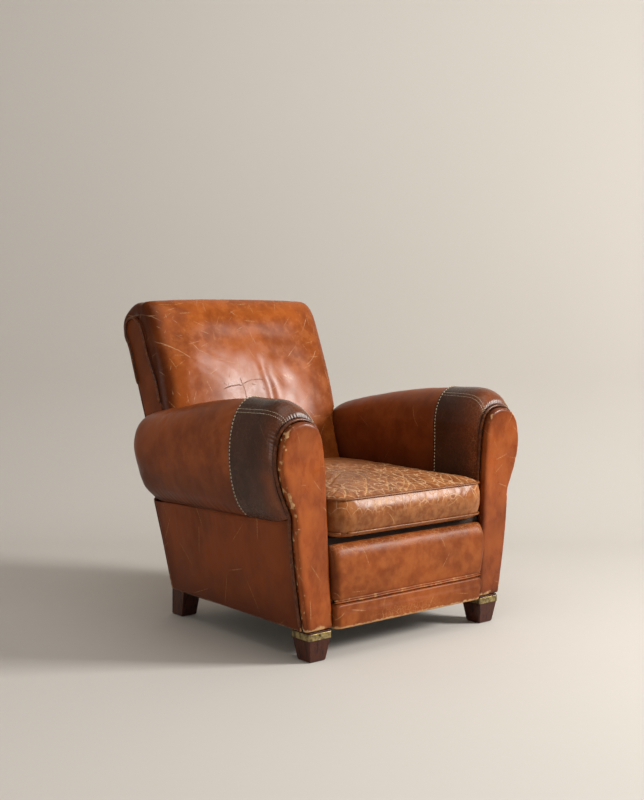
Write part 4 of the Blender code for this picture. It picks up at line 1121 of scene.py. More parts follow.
# %% [markdown]
# ## The arm rolls
# An arm is a long pad rolled over the arm rail, with its leather tucked up under the roll. Where the
# tuck is sewn, the leather puckers into short upright folds. Under the cuff the pad is drawn in, so
# that the cuff lies over it as a second layer.
# %% Shape the arm rolls
INNER_FACE = 0.2612
cuff_low, cuff_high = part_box("arm_cuff_right")
seam_height = section("arm_pad_right", 1, -0.10)
seam_height = seam_height[abs(seam_height[:, 0]) > 0.34][:, 2].min()
for word, side in SIDES.items():
    arm = soft_copy("leather_arm_" + word, "arm_pad_" + word, 7.3 * MM)
    relax(arm, 2)
    points = points_of(arm)
    normals = normals_of(arm)
    free = rise(points[:, 2], 0.36, 0.42) * rise(side * points[:, 0], 0.266, 0.29)
    under_cuff = rise(-points[:, 1], -cuff_high.y - 2 * MM, -cuff_high.y + 1 * MM)
    push_out(points, normals, -(3 * MM * free * (1 - under_cuff) + 2.2 * MM * under_cuff))
    set_points(arm, points)
    swell(arm, 3.0, 4.5 * MM, (free < 0.2) | (under_cuff > 0.5))
    arm = subdivided(arm)
    points = points_of(arm)
    normals = normals_of(arm)
    outer = rise(side * points[:, 0], 0.315, 0.345) * (1 - rise(points[:, 2], 0.40, 0.47))
    tuck = outer * rise(points[:, 2], seam_height - 0.02, seam_height + 6 * MM)
    pitch = 0.021 * (1 + 0.25 * cloudy(points * (0, 1, 0), 0.05, 3 + side))
    gathers = np.sin(2 * math.pi * points[:, 1] / pitch) * bell((points[:, 2] - seam_height) / 0.030)
    push_out(points, normals, tuck * 0.4 * MM * gathers)
    open_part = 1 - rise(-points[:, 1], -cuff_high.y - 2 * MM, -cuff_high.y + 1 * MM)
    long_way = points * (1.0, 0.6, 1.0)
    push_out(points, normals, open_part * 2.2 * MM * cloudy(long_way, 0.085, 20 + side))
    push_out(points, normals, open_part * 0.7 * MM * cloudy(points, 0.032, 22 + side))
    points[:, 0] = side * np.maximum(side * points[:, 0], INNER_FACE)
    set_points(arm, points)
    # The tuck seam under the roll is painted dark: painted shade under the roll.
    keep(arm, "fold", 0.6 * tuck * bell((points[:, 2] - seam_height - 2 * MM) / (5 * MM)))
    # Darker towards the bottom and towards the back; the inner face, turned to the seat, is painted darker
    # as painted shade.
    lowest = rise(-points[:, 2], -0.46, -0.36)
    inner = 0.35 * rise(-side * points[:, 0], -0.31, -0.27)
    by_back = 0.4 * rise(points[:, 1], 0.08, 0.19)
    keep(arm, "aged_and_shade", inner + 0.55 * lowest + by_back + 0.25 * cloudy(points, 0.07, 9))
    keep(arm, "wear", 0.30 * rise(points[:, 2], 0.565, 0.60) * (0.6 + cloudy(points, 0.03, 10)))
    dressed(arm, arm_leather, "arm_leather", "arm_pad_" + word)
    print(arm.name, len(arm.data.polygons), "quads; tuck seam at", round(float(seam_height), 3), "m")

# %% [markdown]
# ## The cuffs
# A second, darker leather wraps the front of each roll, where hands rest. It is thin, so it is
# built as a shell on a grid: rays find the form under it, the grid follows it, and the leather's
# thickness goes inwards. At the facing the cuff is gathered round the head in many small pleats.
# %% Lay the grid of a cuff
ROLL_MIDDLE = (0.325, 0.440)
CUFF_COLUMNS = 300
CUFF_PROUD = 1.3 * MM


def cuff_row(tree, side, y, ends):
    """Points on the cuff's outer face at one depth, from its inner edge over the top to its outer edge."""
    middle = Vector((side * ROLL_MIDDLE[0], y, ROLL_MIDDLE[1]))
    row = []
    for angle in np.linspace(*ends, CUFF_COLUMNS * 2):
        course = Vector((side * math.cos(angle), 0, math.sin(angle)))
        spot = tree.ray_cast(middle + course * 0.3, -course, 0.3)[0]
        if spot:
            row.append(spot)
    row = smooth_line(even(np.array(row), 3 * MM, closed=False), 4, closed=False)
    along = np.linspace(0, len(row) - 1, CUFF_COLUMNS)
    return np.stack([np.interp(along, np.arange(len(row)), row[:, i]) for i in range(3)], axis=1)


def grid_normals(grid, side):
    """Outward normals of a cuff's grid."""
    normals = np.cross(np.gradient(grid, axis=1), np.gradient(grid, axis=0)) * side
    return normals / np.maximum(np.linalg.norm(normals, axis=2), 1e-9)[:, :, None]


def cuff_ends(y):
    """Angles at which the cuff's inner edge and its outer edge lie, seen from the roll's middle."""
    line = section("arm_cuff_right", 1, y)[:, (0, 2)]
    inner = line[line[:, 0] < 0.29]
    outer = line[line[:, 0] > 0.33]
    ends = []
    for edge in (inner, outer):
        x, z = edge[edge[:, 1].argmin()] - ROLL_MIDDLE
        ends.append(math.atan2(z, x))
    return ends[0] % (2 * math.pi) - 0.012, ends[1] + 0.012


CUFF_DEPTHS = np.concatenate([
    np.linspace(cuff_low.y, cuff_low.y + 0.030, 20, endpoint=False),
    np.linspace(cuff_low.y + 0.030, cuff_high.y - 0.008, 24, endpoint=False),
    np.linspace(cuff_high.y - 0.008, cuff_high.y, 6),
])
cuff_grids = {}
for word, side in SIDES.items():
    tree = surface_of("arm_cuff_" + word)
    rows = []
    for y in CUFF_DEPTHS:
        ends = cuff_ends(np.clip(y, cuff_low.y + 0.4 * MM, cuff_high.y - 0.4 * MM))
        rows.append(cuff_row(tree, side, np.clip(y, cuff_low.y + 0.2 * MM, cuff_high.y - 0.2 * MM), ends))
    cuff_grids[word] = np.array(rows)
print("cuff grid:", cuff_grids["left"].shape[:2])

# %% [markdown]
# The pleats are waves round the head that start at the facing and die out behind it. Their pitch
# wanders, because a hand gathered them. Slow waves along the cuff are the folds that the pleats
# pull, and the rear edge dips a little at each stitch.
# %% Pleat the cuffs and give them their thickness
LEATHER_THICK = 2.3 * MM
PLEAT_PITCH = 8.0 * MM
STITCH_PITCH = 9.0 * MM
cuff_skins = {}
for word, side in SIDES.items():
    grid = cuff_grids[word]
    normals = grid_normals(grid, side)
    steps = np.linalg.norm(np.diff(grid[-1], axis=0), axis=1)
    along = np.concatenate([[0], np.cumsum(steps)])[None, :]
    behind = grid[:, :, 1] - cuff_low.y
    head = rise(grid[:, :, 2], 0.42, 0.50)
    wander = cloudy(np.outer(along[0], (1, 0, 0)), 0.05, 30 + side)
    pleats = np.sin(2 * math.pi * (along / PLEAT_PITCH + 1.3 * wander))
    depth = np.exp(-behind / (16 * MM)) * (0.5 + 0.5 * cloudy(grid, 0.03, 31))
    lift = 0.7 * MM * pleats * np.abs(depth) * head
    folds = cloudy(grid * (1.0, 0.30, 1.0), 0.022, 33 + side)
    lift += 0.9 * MM * folds * np.exp(-behind / (60 * MM)) * (0.3 + 0.7 * head)
    lift += 1.4 * MM * cloudy(grid, 0.06, 34 + side)
    last = np.exp(-(cuff_high.y - grid[:, :, 1]) / (3.5 * MM))
    lift += 0.5 * MM * np.cos(2 * math.pi * along / STITCH_PITCH) * last - 0.9 * MM * last ** 3
    lift *= rise(grid[:, :, 2], 0.27, 0.30)
    outer = grid + normals * (CUFF_PROUD + lift)[:, :, None]
    cuff_skins[word] = (outer, normals, along)
    cuff = shell("leather_cuff_" + word, outer, outer - normals * LEATHER_THICK)
    # The front edge against the welt and the valleys of the pleats are painted dark: painted shade.
    painted_groove_shade = np.exp(-behind / (3.0 * MM)) + 0.5 * np.clip(-pleats, 0, 1) * np.abs(depth) * head
    keep_on_shell(cuff, "fold", painted_groove_shade)
    crest = np.clip(pleats, 0, 1) * np.abs(depth) * head
    shoulder = np.exp(-behind / (30 * MM))
    worn = 0.24 * crest + 0.40 * shoulder * rise(cloudy(grid, 0.02, 35), -0.1, 0.5)
    keep_on_shell(cuff, "wear", worn + 0.3 * last ** 3)
    reddish = bell(behind / 0.034) * (0.8 + 0.6 * cloudy(grid, 0.03, 36))
    reddish = reddish * (1 - 0.5 * head) + (0.5 * head * rise(-behind, -0.11, -0.02) if side > 0 else 0)
    keep_on_shell(cuff, "warm", reddish)
    inner_side = rise(-side * grid[:, :, 0], -0.31, -0.27)
    keep_on_shell(cuff, "flexed", shoulder * (0.3 + 0.9 * inner_side))
    dressed(cuff, cuff_leather, "cuff_leather", "arm_cuff_" + word)
    print(cuff.name, "is", round(float(along[0, -1]), 3), "m round")

# %% [markdown]
# ## The stitches
# Waxed thread shows as short raised dashes. One dash is a small capsule whose ends dive into the
# leather, and a row of them is copied along a line on the cuff: one row on the rear edge, and two
# rows side by side over each shoulder.
# %% Sew the cuffs
def dashes(name, middles, courses, ups, length, radius):
    """Capsules on the given places, along the given courses, as one piece."""
    shares = np.array([-1.0, -0.8, -0.35, 0.35, 0.8, 1.0])
    widths = np.array([0.35, 0.8, 1.0, 1.0, 0.8, 0.35])
    turn = np.linspace(0, 2 * math.pi, 6, endpoint=False)
    points, faces = [], []
    for middle, course, up in zip(middles, courses, ups):
        course = course / np.linalg.norm(course)
        sidewards = np.cross(course, up)
        start = len(points) * 6
        for share, width in zip(shares, widths):
            centre = middle + course * share * length / 2 + up * radius * (0.4 - 1.6 * share ** 4)
            ring = np.outer(np.cos(turn), sidewards) + np.outer(np.sin(turn), up)
            points.append(centre + ring * radius * width)
        faces += band_faces(start, 6, 6, True)
        faces += [tuple(range(start, start + 6)), tuple(range(start + 30, start + 36))]
    return piece(name, np.array(points), faces)


def along_row(line, normals, pitch, start, stop):
    """Places, courses and normals every pitch along a line, from start to stop as shares of it."""
    steps = np.concatenate([[0], np.cumsum(np.linalg.norm(np.diff(line, axis=0), axis=1))])
    places = np.arange(start * steps[-1], stop * steps[-1], pitch)
    rows = (line, np.gradient(line, axis=0), normals)
    return [np.stack([np.interp(places, steps, row[:, i]) for i in range(3)], axis=1) for row in rows]


for word, side in SIDES.items():
    outer, normals, along = cuff_skins[word]
    runs = [(along_row(outer[-5], normals[-5], STITCH_PITCH, 0.02, 0.985), 6.6 * MM, 1.35 * MM)]
    round_middle = outer[len(outer) // 2]
    for shoulder in (0.288, 0.380):
        near = np.where(round_middle[:, 2] > 0.5, abs(side * round_middle[:, 0] - shoulder), 1.0)
        column = int(near.argmin())
        gap = max(1, round(4.5 * MM / (along[0, 1] - along[0, 0])))
        for shifted in (column - gap, column + gap):
            row = along_row(outer[::-1, shifted], normals[::-1, shifted], 5.4 * MM, 0.05, 0.99)
            runs.append((row, 3.8 * MM, 0.75 * MM))
    for number, ((middles, courses, ups), length, radius) in enumerate(runs, 1):
        row = dashes(f"stitches_{word}_{number}", middles, courses, ups, length, radius)
        dressed(row, thread_cloth, "cuff_leather")
    print("cuff", word, "has", sum(len(run[0][0]) for run in runs), "stitches")

# %% [markdown]
# ## The facings
# A facing is a padded board that closes the front of each arm. Its leather is pulled tight over the
# edge, where it has worn through to bare hide. A finer voxel size keeps that edge, and the face
# gets only a slight unevenness, because there is a board behind it.
# %% Pad the facings
for word, side in SIDES.items():
    facing = soft_copy("leather_facing_" + word, "arm_facing_" + word, 2.7 * MM)
    relax(facing, 4)
    points = points_of(facing)
    normals = normals_of(facing)
    front = rise(-normals[:, 1], 0.2, 0.8)
    push_out(points, normals, front * (1.0 * MM + 1.0 * MM * cloudy(points, 0.05, 40 + side)))
    push_out(points, normals, 0.4 * MM * cloudy(points, 0.018, 42 + side))
    set_points(facing, points)
    edge = spread_value(facing, exposure(facing, 8, 1.2 * MM), 1)
    bottom = rise(-points[:, 2], -0.13, -0.075)
    outside_edge = rise(side * points[:, 0], 0.33, 0.36)
    leg_edge = rise(side * points[:, 0], 0.300, 0.312) * rise(-points[:, 2], -0.40, -0.34)
    chips = rise(cloudy(points, 0.035, 44 + side), -0.15, 0.45)
    rim = np.clip(2.0 * spread_value(facing, edge, 12), 0, 1)
    nicks = rise(cloudy(points, 0.009, 46 + side), 0.28, 0.55) * rim * np.maximum(outside_edge, leg_edge)
    worn = edge * (0.42 + 0.40 * chips + 0.26 * outside_edge) + 0.4 * bottom * chips
    keep(facing, "wear", worn + 0.62 * nicks)
    head = rise(points[:, 2], 0.48, 0.57)
    # The right facing is painted darker, most of all down its leg: painted shade.
    right_facing_shade = 0.15 + 0.25 * rise(-points[:, 2], -0.34, -0.24) if side > 0 else 0
    antiqued_and_shade = 0.38 * rim + 0.35 * head + 0.25 * bottom + right_facing_shade + 0.20 * cloudy(points, 0.05, 47)
    # The facing's sides behind its front, by the welt, are painted darker: painted shade in the groove.
    keep(facing, "aged_and_shade", antiqued_and_shade + 0.5 * rise(points[:, 1], -0.402, -0.394))
    dressed(facing, facing_leather, "facing_leather", "arm_facing_" + word)
    print(facing.name, len(facing.data.polygons), "quads")

# %% [markdown]
# ## The welts
# A welt is a cord in a strip of leather, sewn into a seam. Each follows the section of the form that
# it edges. The cord's thickness varies a little where the strip is folded. These run round the
# facings and along the back's side panels, and end where the real ones go under the next cover.
# %% Run the welts of the facings and the back
def open_run(line, kept):
    """The part of a closed line where kept is true, as an open line."""
    start = next(i for i in range(len(kept)) if kept[i] and not kept[i - 1])
    line = np.roll(line, -start, axis=0)
    kept = np.roll(kept, -start)
    return line[:int(np.argmin(kept))] if not kept.all() else line


def lumpy(line, radius, seed):
    return radius * (1 + 0.07 * cloudy(line, 0.012, seed))


for word, side in SIDES.items():
    low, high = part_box("facing_welt_" + word)
    radius = (high.y - low.y) / 2
    line = smooth_line(even(section("arm_facing_" + word, 1, -0.396), 4 * MM), 3)
    line = outset(line, 1, radius + 0.3 * MM)
    line[:, 1] = (low.y + high.y) / 2
    kept = (line[:, 2] > low.z + 0.004) & ((line[:, 2] > 0.300) | (side * line[:, 0] > 0.31))
    line = open_run(line, kept)
    welt = tube("welt_facing_" + word, line, lumpy(line, radius, 50 + side), (0, 1, 0), sides=12)
    keep(welt, "wear", 0.12 + 0.30 * cloudy(points_of(welt), 0.02, 51))
    dressed(welt, welt_leather, "welt_leather", "facing_welt_" + word)
    low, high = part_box("back_welt_" + word)
    radius = (high.x - low.x) / 2
    line = smooth_line(even(section("back_side_panel_" + word, 0, side * 0.2855), 4 * MM), 4)
    middle = section("back_side_panel_" + word, 0, side * 0.2855)[:, 1].mean()
    kept = (line[:, 2] > 0.600) | ((line[:, 2] > low.z + radius) & (line[:, 1] < middle - 0.02))
    ahead_of_roll = rise(middle + 0.02 - line[:, 1], 0, 0.02)
    line = open_run(outset(line, 0, (4.4 * ahead_of_roll - 3.4) * MM), kept)
    line[:, 0] = (low.x + high.x) / 2 + side * 0.8 * MM
    welt = tube("welt_back_" + word, line, lumpy(line, radius + 0.4 * MM, 52 + side), (1, 0, 0), sides=12)
    points = points_of(welt)
    in_sight = rise(front_plane(points[:, 2]) + 0.06 - points[:, 1], 0, 0.02)
    lowest = rise(-points[:, 2], -0.66, -0.56)
    keep(welt, "wear", in_sight * (0.14 + 0.30 * lowest + 0.3 * cloudy(points, 0.03, 53)))
    keep(welt, "warm", in_sight * (0.5 + 0.3 * cloudy(points, 0.04, 54)))
    dressed(welt, welt_leather, "welt_leather", "back_welt_" + word)
    print(welt.name, "follows", len(line), "points")

# %% [markdown]
# The cushion's welts are closed rings at its two seams, drawn in at the front like the seams. The
# piping between the border and the band is a pair of thin straight welts.
# %% Run the welts of the cushion and the band
for word, height in (("top", top_seam), ("bottom", bottom_seam)):
    line = smooth_line(even(section("seat_cushion", 2, height), 5 * MM), 2)
    line = outset(line, 2, 2.2 * MM)
    line[:, 1] += set_back(line[:, 1])
    line[:, 2] += 0.6 * MM * cloudy(line, 0.05, 55)
    welt = tube("welt_cushion_" + word, line, lumpy(line, 2.4 * MM, 56), (0, 0, 1), closed=True)
    keep(welt, "wear", 0.20 + 0.35 * cloudy(points_of(welt), 0.03, 57))
    keep(welt, "aged_and_shade", np.full(len(points_of(welt)), 0.45))
    dressed(welt, seat_leather, "seat_leather", "cushion_welt_" + word)
low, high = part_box("band_welt")
for number, share in enumerate((0.12, 0.88), 1):
    across = np.linspace(low.x, high.x, 121)
    ends = 6 * MM * (2 * (across - low.x) / (high.x - low.x) - 1) ** 8
    height = low.z + (high.z - low.z) * share
    line = np.stack([across, low.y + 2.4 * MM + ends, height + 0.3 * MM * np.sin(across * 60)], axis=1)
    welt = tube(f"welt_band_{number}", line, lumpy(line, 2.3 * MM, 58 + number), (0, 1, 0))
    keep(welt, "wear", 0.42 + 0.3 * cloudy(points_of(welt), 0.03, 59))
    dressed(welt, border_leather, "border_leather", *(["band_welt"] if number == 1 else []))

# %% [markdown]
# ## The border and the band
# Under the cushion a padded border closes the front of the seat, and a narrower band closes the rail
# under it. Both are voxel copies: the border's top edge is round and polished by legs, and the
# band's lower edge is scuffed by shoes.
# %% Pad the border and the band
BAND_EDGE = 3 * MM
for name, node, swelling in (("leather_border", "seat_border", 2.2), ("leather_band", "base_band", 1.0)):
    strip = soft_copy(name, node, 3.3 * MM)
    relax(strip, 3)
    low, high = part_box(node)
    points = points_of(strip)
    top_edge = rise(points[:, 2], high.z - 0.045, high.z - 0.015)[:, None]
    if node == "seat_border":
        points = points * (1 - top_edge) + averaged(strip, points, 40) * top_edge
    else:
        ahead_of_rail = rise(-points[:, 1], 0.40, 0.415)
        into = np.clip((points[:, 2] - high.z + BAND_EDGE) / BAND_EDGE, 0, 0.98)
        corner = BAND_EDGE * (1 - np.sqrt(1 - into ** 2))
        upright = np.minimum(points[:, 1], low.y + BAND_EDGE + corner)
        points[:, 1] += (upright - points[:, 1]) * ahead_of_rail * top_edge[:, 0]
    set_points(strip, points)
    normals = normals_of(strip)
    front = rise(-normals[:, 1], 0.3, 0.9)
    tall = np.sin(math.pi * np.clip((points[:, 2] - low.z) / (high.z - low.z), 0, 1))
    waves = cloudy(points * (1.0, 1.0, 0.4), 0.045, 60)
    push_out(points, normals, front * tall * swelling * MM * (0.55 + 0.8 * waves))
    push_out(points, normals, 0.35 * MM * cloudy(points, 0.016, 62))
    set_points(strip, points)
    edge = spread_value(strip, exposure(strip, 8, 1.4 * MM), 2)
    # The ends, which turn into the gaps beside the facings, are painted darker and given a dark fold line:
    # painted shade.
    ends = rise(abs(points[:, 0]), 0.225, 0.245)
    bottom = rise(-points[:, 2], -low.z - 0.016, -low.z - 0.002) if node == "base_band" else 0
    keep(strip, "wear", 0.34 * edge + 0.50 * bottom + 0.2 * rise(cloudy(points, 0.05, 61), 0.2, 0.6))
    # The right part is painted darker, most of all on the band: painted shade.
    away = rise(points[:, 0], 0.02, 0.20) * (0.42 if node == "base_band" else 0.1)
    keep(strip, "aged_and_shade", 0.45 * ends + away)
    keep(strip, "fold", 0.35 * rise(abs(points[:, 0]), 0.243, 0.249))
    if node == "seat_border":
        rubbed = rise(points[:, 2], high.z - 0.034, high.z - 0.014) * (0.6 + 0.7 * cloudy(points, 0.05, 63))
    else:
        rubbed = bell((points[:, 0] + 0.02) / 0.09) * rise(-points[:, 2], -low.z - 0.045, -low.z - 0.01)
    keep(strip, "flexed", rubbed)
    dressed(strip, border_leather, "border_leather", node)
    print(strip.name, len(strip.data.polygons), "quads")

# %% [markdown]
# ## Outside panels
# The outsides are single hides stretched over the frame with nothing behind them but cloth. Rays
# measure each thin node as a grid, from its bottom to its top.
# %% Measure a thin panel
def panel_grid(node, levels, columns, along_axis, view):
    """Rows of points on a thin panel's outer face, seen along a direction, from one end to the other."""
    tree = surface_of(node)
    low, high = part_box(node)
    rows = []
    for level in np.linspace(low.z + 0.3 * MM, high.z - 0.3 * MM, levels):
        line = section(node, 2, min(max(level, low.z + MM), high.z - 3 * MM))[:, along_axis]
        row = []
        for place in np.linspace(line.min() + 0.4 * MM, line.max() - 0.4 * MM, columns):
            start = Vector((0, 0, level)) - Vector(view)
            start[along_axis] = place
            spot = tree.ray_cast(start, Vector(view))[0]
            row.append(spot or Vector([math.nan] * 3))
        rows.append(row)
    grid = np.array(rows)
    for row in range(levels):
        for column in range(columns):
            if np.isnan(grid[row, column, 0]):
                grid[row, column] = grid[row - 1, column] + (0, 0, (high.z - low.z) / levels)
    return grid


def rim_distance(grid):
    """How far each point is from the nearest side of its grid."""
    across = np.linalg.norm(np.diff(grid, axis=1), axis=2)
    across = np.concatenate([np.zeros((len(grid), 1)), np.cumsum(across, axis=1)], axis=1)
    upright = np.linalg.norm(np.diff(grid, axis=0), axis=2)
    upright = np.concatenate([np.zeros((1, grid.shape[1])), np.cumsum(upright, axis=0)])
    return np.min([across, across[:, -1:] - across, upright, upright[-1:] - upright], axis=0)


# %% [markdown]
# A stretched hide stays nearly flat, waves a little between the rails, and ripples under the seam
# that holds its top. Its edges are folded under, so the grid turns in over its last few millimetres.
# %% Stretch the side panels and the outside back
PANEL_THICK = 3.5 * MM


def stretched_panel(name, node, grid, outwards, waves, seed):
    """Leather over a measured grid: hollow between its edges, rippled, folded under at its rim."""
    outwards = np.array(outwards, float)
    rim = rim_distance(grid)
    fold = 1 - rise(rim, 0, 5 * MM)
    lift = waves * cloudy(grid, 0.11, seed) * rise(rim, 0, 0.04)
    lift += 0.5 * MM * cloudy(grid, 0.035, seed + 1)
    lift -= 1.6 * MM * fold ** 2
    outer = grid + outwards * (lift + 0.6 * MM)[:, :, None]
    panel = shell(name, outer, outer - outwards * PANEL_THICK)
    low_down = rise(-grid[:, :, 2], -0.20, -0.08)
    keep_on_shell(panel, "wear", 0.45 * (1 - rise(rim, 0, 6 * MM)) * low_down + 0.15 * fold)
    keep_on_shell(panel, "aged_and_shade", 0.35 * (1 - rise(rim, 0.01, 0.06)) + 0.35 * low_down)
    return panel


for word, side in SIDES.items():
    node = "side_panel_" + word
    grid = panel_grid(node, 44, 130, 1, (-side, 0, 0))
    under_seam = np.exp(-((grid[:, :, 2].max(axis=0) - grid[:, :, 2]) / 0.045))
    pitch = 0.026 * (1 + 0.3 * cloudy(grid * (0, 1, 0), 0.06, 70 + side))
    ripples = np.sin(2 * math.pi * grid[:, :, 1] / pitch) * under_seam
    grid[:, :, 0] += side * 0.45 * MM * ripples * rise(rim_distance(grid), 0, 0.012)
    panel = stretched_panel("leather_side_" + word, node, grid, (side, 0, 0), 2.0 * MM, 71 + side)
    dressed(panel, side_leather, "side_leather", node)
    print(panel.name, len(panel.data.polygons), "quads")
grid = panel_grid("outside_back", 64, 72, 0, (0, -1, 0))
to_roll = rise(grid[:, :, 2], 0.672, 0.693)
grid += to_roll[:, :, None] * 5.6 * MM * np.array((0, 0.26, 0.97))
panel = stretched_panel("leather_outside_back", "outside_back", grid, (0, 1, 0), 2.5 * MM, 74)
dressed(panel, outside_leather, "outside_leather", "outside_back")
print(panel.name, len(panel.data.polygons), "quads")

# %% [markdown]
# The back's side panels are boards covered like the facings, and they run down behind the arms.
# %% Cover the sides of the back
for word, side in SIDES.items():
    boxing = soft_copy("leather_back_side_" + word, "back_side_panel_" + word, 2.9 * MM)
    relax(boxing, 3)
    points = points_of(boxing)
    normals = normals_of(boxing)
    flank = rise(side * normals[:, 0], 0.3, 0.9)
    push_out(points, normals, flank * (0.3 * MM + 0.4 * MM * cloudy(points, 0.06, 76 + side)))
    points[:, 0] = side * np.minimum(side * points[:, 0], back_high.x + 2.5 * MM)
    set_points(boxing, points)
    keep(boxing, "wear", 0.12 * exposure(boxing, 6, 1.2 * MM))
    keep(boxing, "aged_and_shade", 0.25 + 0.3 * cloudy(points, 0.05, 78))
    dressed(boxing, side_leather, "side_leather", "back_side_panel_" + word)
    print(boxing.name, len(boxing.data.polygons), "quads")

# %% [markdown]
# ## Brass, wood and cloth
# The front feet wear a strip of brass, bent round and nailed. Years of knocks have dented it, so
# its outer face is moved by a cloudy noise, and its rims flare a little. A nail's head is lofted
# through a profile of pairs, how far out it is and how wide, in millimetres.
# %% Bend the brass bands and drive their nails
def rounded_square(centre, half, corner, count=112):
    """A square line with round corners, anticlockwise."""
    turn = np.linspace(0, 2 * math.pi, count, endpoint=False)
    x = np.clip(np.cos(turn) * half * math.sqrt(2), -half, half)
    y = np.clip(np.sin(turn) * half * math.sqrt(2), -half, half)
    line = np.stack([x, y], axis=1)
    over = np.maximum(np.abs(line) - (half - corner), 0)
    length = np.linalg.norm(over, axis=1)
    excess = np.where(length > corner, length - corner, 0)
    line -= np.sign(line) * over * (excess / np.maximum(length, 1e-9))[:, None]
    return line + centre


BRASS_ROWS = 13
NAIL_PROFILE = ((-0.6, 0.9), (0.0, 2.0), (0.5, 1.9), (0.9, 1.4), (1.15, 0.6))
for word, side in SIDES.items():
    low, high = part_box("foot_band_" + word)
    centre = np.array([(low.x + high.x) / 2, (low.y + high.y) / 2])
    half = (high.x - low.x) / 2
    heights = np.linspace(low.z, high.z - 4 * MM, BRASS_ROWS)
    line = rounded_square(centre, half, 2.5 * MM)
    outer = np.array([[(x, y, z) for x, y in line] for z in heights])
    away = outer[:, :, :2] - centre
    away /= np.linalg.norm(away, axis=2)[:, :, None]
    dents = cloudy(outer, 0.010, 80 + side) * 0.9 * MM - 0.4 * MM
    flare = 0.5 * MM * np.abs(np.linspace(-1, 1, BRASS_ROWS))[:, None] ** 6
    outer[:, :, :2] += away * (dents + flare)[:, :, None]
    inner = outer.copy()
    inner[:, :, :2] -= away * 1.0 * MM
    band = shell("brass_band_" + word, outer, inner, wrap=True)
    dressed(band, worn_brass, "worn_brass", "foot_band_" + word)
    turn = np.linspace(0, 2 * math.pi, 14, endpoint=False)
    for number, (x, y) in enumerate(((0.0, -1.0), (side, 0.0), (-side, 0.0)), 1):
        front = np.array([x, y, 0.0])
        beside = np.array([-y, x, 0.0])
        middle = np.array([*centre, (low.z + high.z) / 2]) + front * (half + 0.1 * MM)
        rings = []
        for out, width in NAIL_PROFILE:
            ring = np.outer(np.cos(turn), beside) + np.outer(np.sin(turn), (0, 0, 1))
            rings.append(middle + front * out * MM + ring * width * MM)
        nail = loft(f"brass_nail_{word}_{number}", np.array(rings))
        dressed(nail, worn_brass, "worn_brass")
    print(band.name, "is", round((high.z - low.z) / MM, 1), "mm wide")

# %% [markdown]
# What the leather hides keeps its own form and gets a real finish. Wooden nodes also get a small
# bevel, because no edge of a used chair is sharp. The deck is a pad of cloth, so it is softened.
# %% Finish the frame, the springs and the deck
deck = soft_copy("seat_deck_pad", "seat_deck", 9 * MM)
relax(deck, 2)
points = points_of(deck)
points[:, 2] = np.minimum(points[:, 2] + 1.5 * MM * cloudy(points, 0.05, 90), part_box("seat_deck")[1].z)
set_points(deck, points)
dressed(deck, deck_cloth, "deck_cloth", "seat_deck")
FINISHES = {
    "foot_front": foot_wood, "foot_rear": foot_wood, "front_post": frame_wood, "rear_post": frame_wood,
    "front_rail": frame_wood, "rear_rail": frame_wood, "back_rail": frame_wood, "crest_rail": frame_wood,
    "side_rail": frame_wood, "arm_rail": frame_wood, "corner_block": frame_wood,
    "seat_spring": spring_steel,
}
for node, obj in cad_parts.items():
    finish = next((FINISHES[start] for start in FINISHES if node.startswith(start)), None)
    if finish and not obj.hide_render:
        obj.data.materials.clear()
        obj.data.materials.append(finish)
        if finish in (foot_wood, frame_wood):
            weld = obj.modifiers.new("Joined", "WELD")
            weld.merge_threshold = 1e-5
            bevel = obj.modifiers.new("Eased edges", "BEVEL")
            bevel.width = 1.6 * MM
            bevel.segments = 3
            bevel.limit_method = "ANGLE"
print("kept nodes:", sorted(n for n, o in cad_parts.items() if not o.hide_render))

# %% [markdown]
# The cloth that nobody sees still hangs. The dust cover sags under the seat, the hessian dips
# between the springs, and the straps are never quite flat. Each is its node's form cut into small
# faces, whose points are then moved. A sheet's flat size is what was cut from the roll.
# %% Hang the hidden cloth
def hung_copy(name, node, material, slot, shift, cell=0.040):
    """A new piece with a thin node's form in small faces, each point moved by shift(points)."""
    bm = joined(node)
    long_edges = list(bm.edges)
    while long_edges:
        bmesh.ops.triangulate(bm, faces=[face for face in bm.faces if len(face.verts) > 3])
        long_edges = [edge for edge in bm.edges if edge.calc_length() > cell]
        bmesh.ops.subdivide_edges(bm, edges=long_edges, cuts=1)
    mesh = bpy.data.meshes.new(name)
    bm.to_mesh(mesh)
    bm.free()
    cloth = bpy.data.objects.new(name, mesh)
    bpy.context.scene.collection.objects.link(cloth)
    points = points_of(cloth)
    set_points(cloth, points + shift(points))
    return dressed(cloth, material, slot, node)


def dust_sag(points):
    middle = np.cos(math.pi * points[:, 0] / 0.60) * np.cos(math.pi * (points[:, 1] + 0.1175) / 0.54)
    return np.outer(-4 * MM * np.clip(middle, 0, 1), (0, 0, 1))


def hessian_dips(points):
    near = np.min([np.hypot(points[:, 0] - x, points[:, 1] - y) for x, y in SPRINGS], axis=0)
    from_rim = np.minimum(0.256 - abs(points[:, 0]), np.minimum(points[:, 1] + 0.387, 0.127 - points[:, 1]))
    dips = rise(near, 0.042, 0.075) * rise(from_rim, 0, 0.05) * rise(points[:, 2], 0.20, 0.25)
    return np.outer(-3 * MM * dips, (0, 0, 1))


def strap_waves(points):
    return np.outer(0.2 * MM * cloudy(points, 0.06, 91), (0, 0, 1))


def back_strap_waves(points):
    return np.outer(0.8 * MM * (1 + cloudy(points, 0.08, 92)), (0, 1, 0))


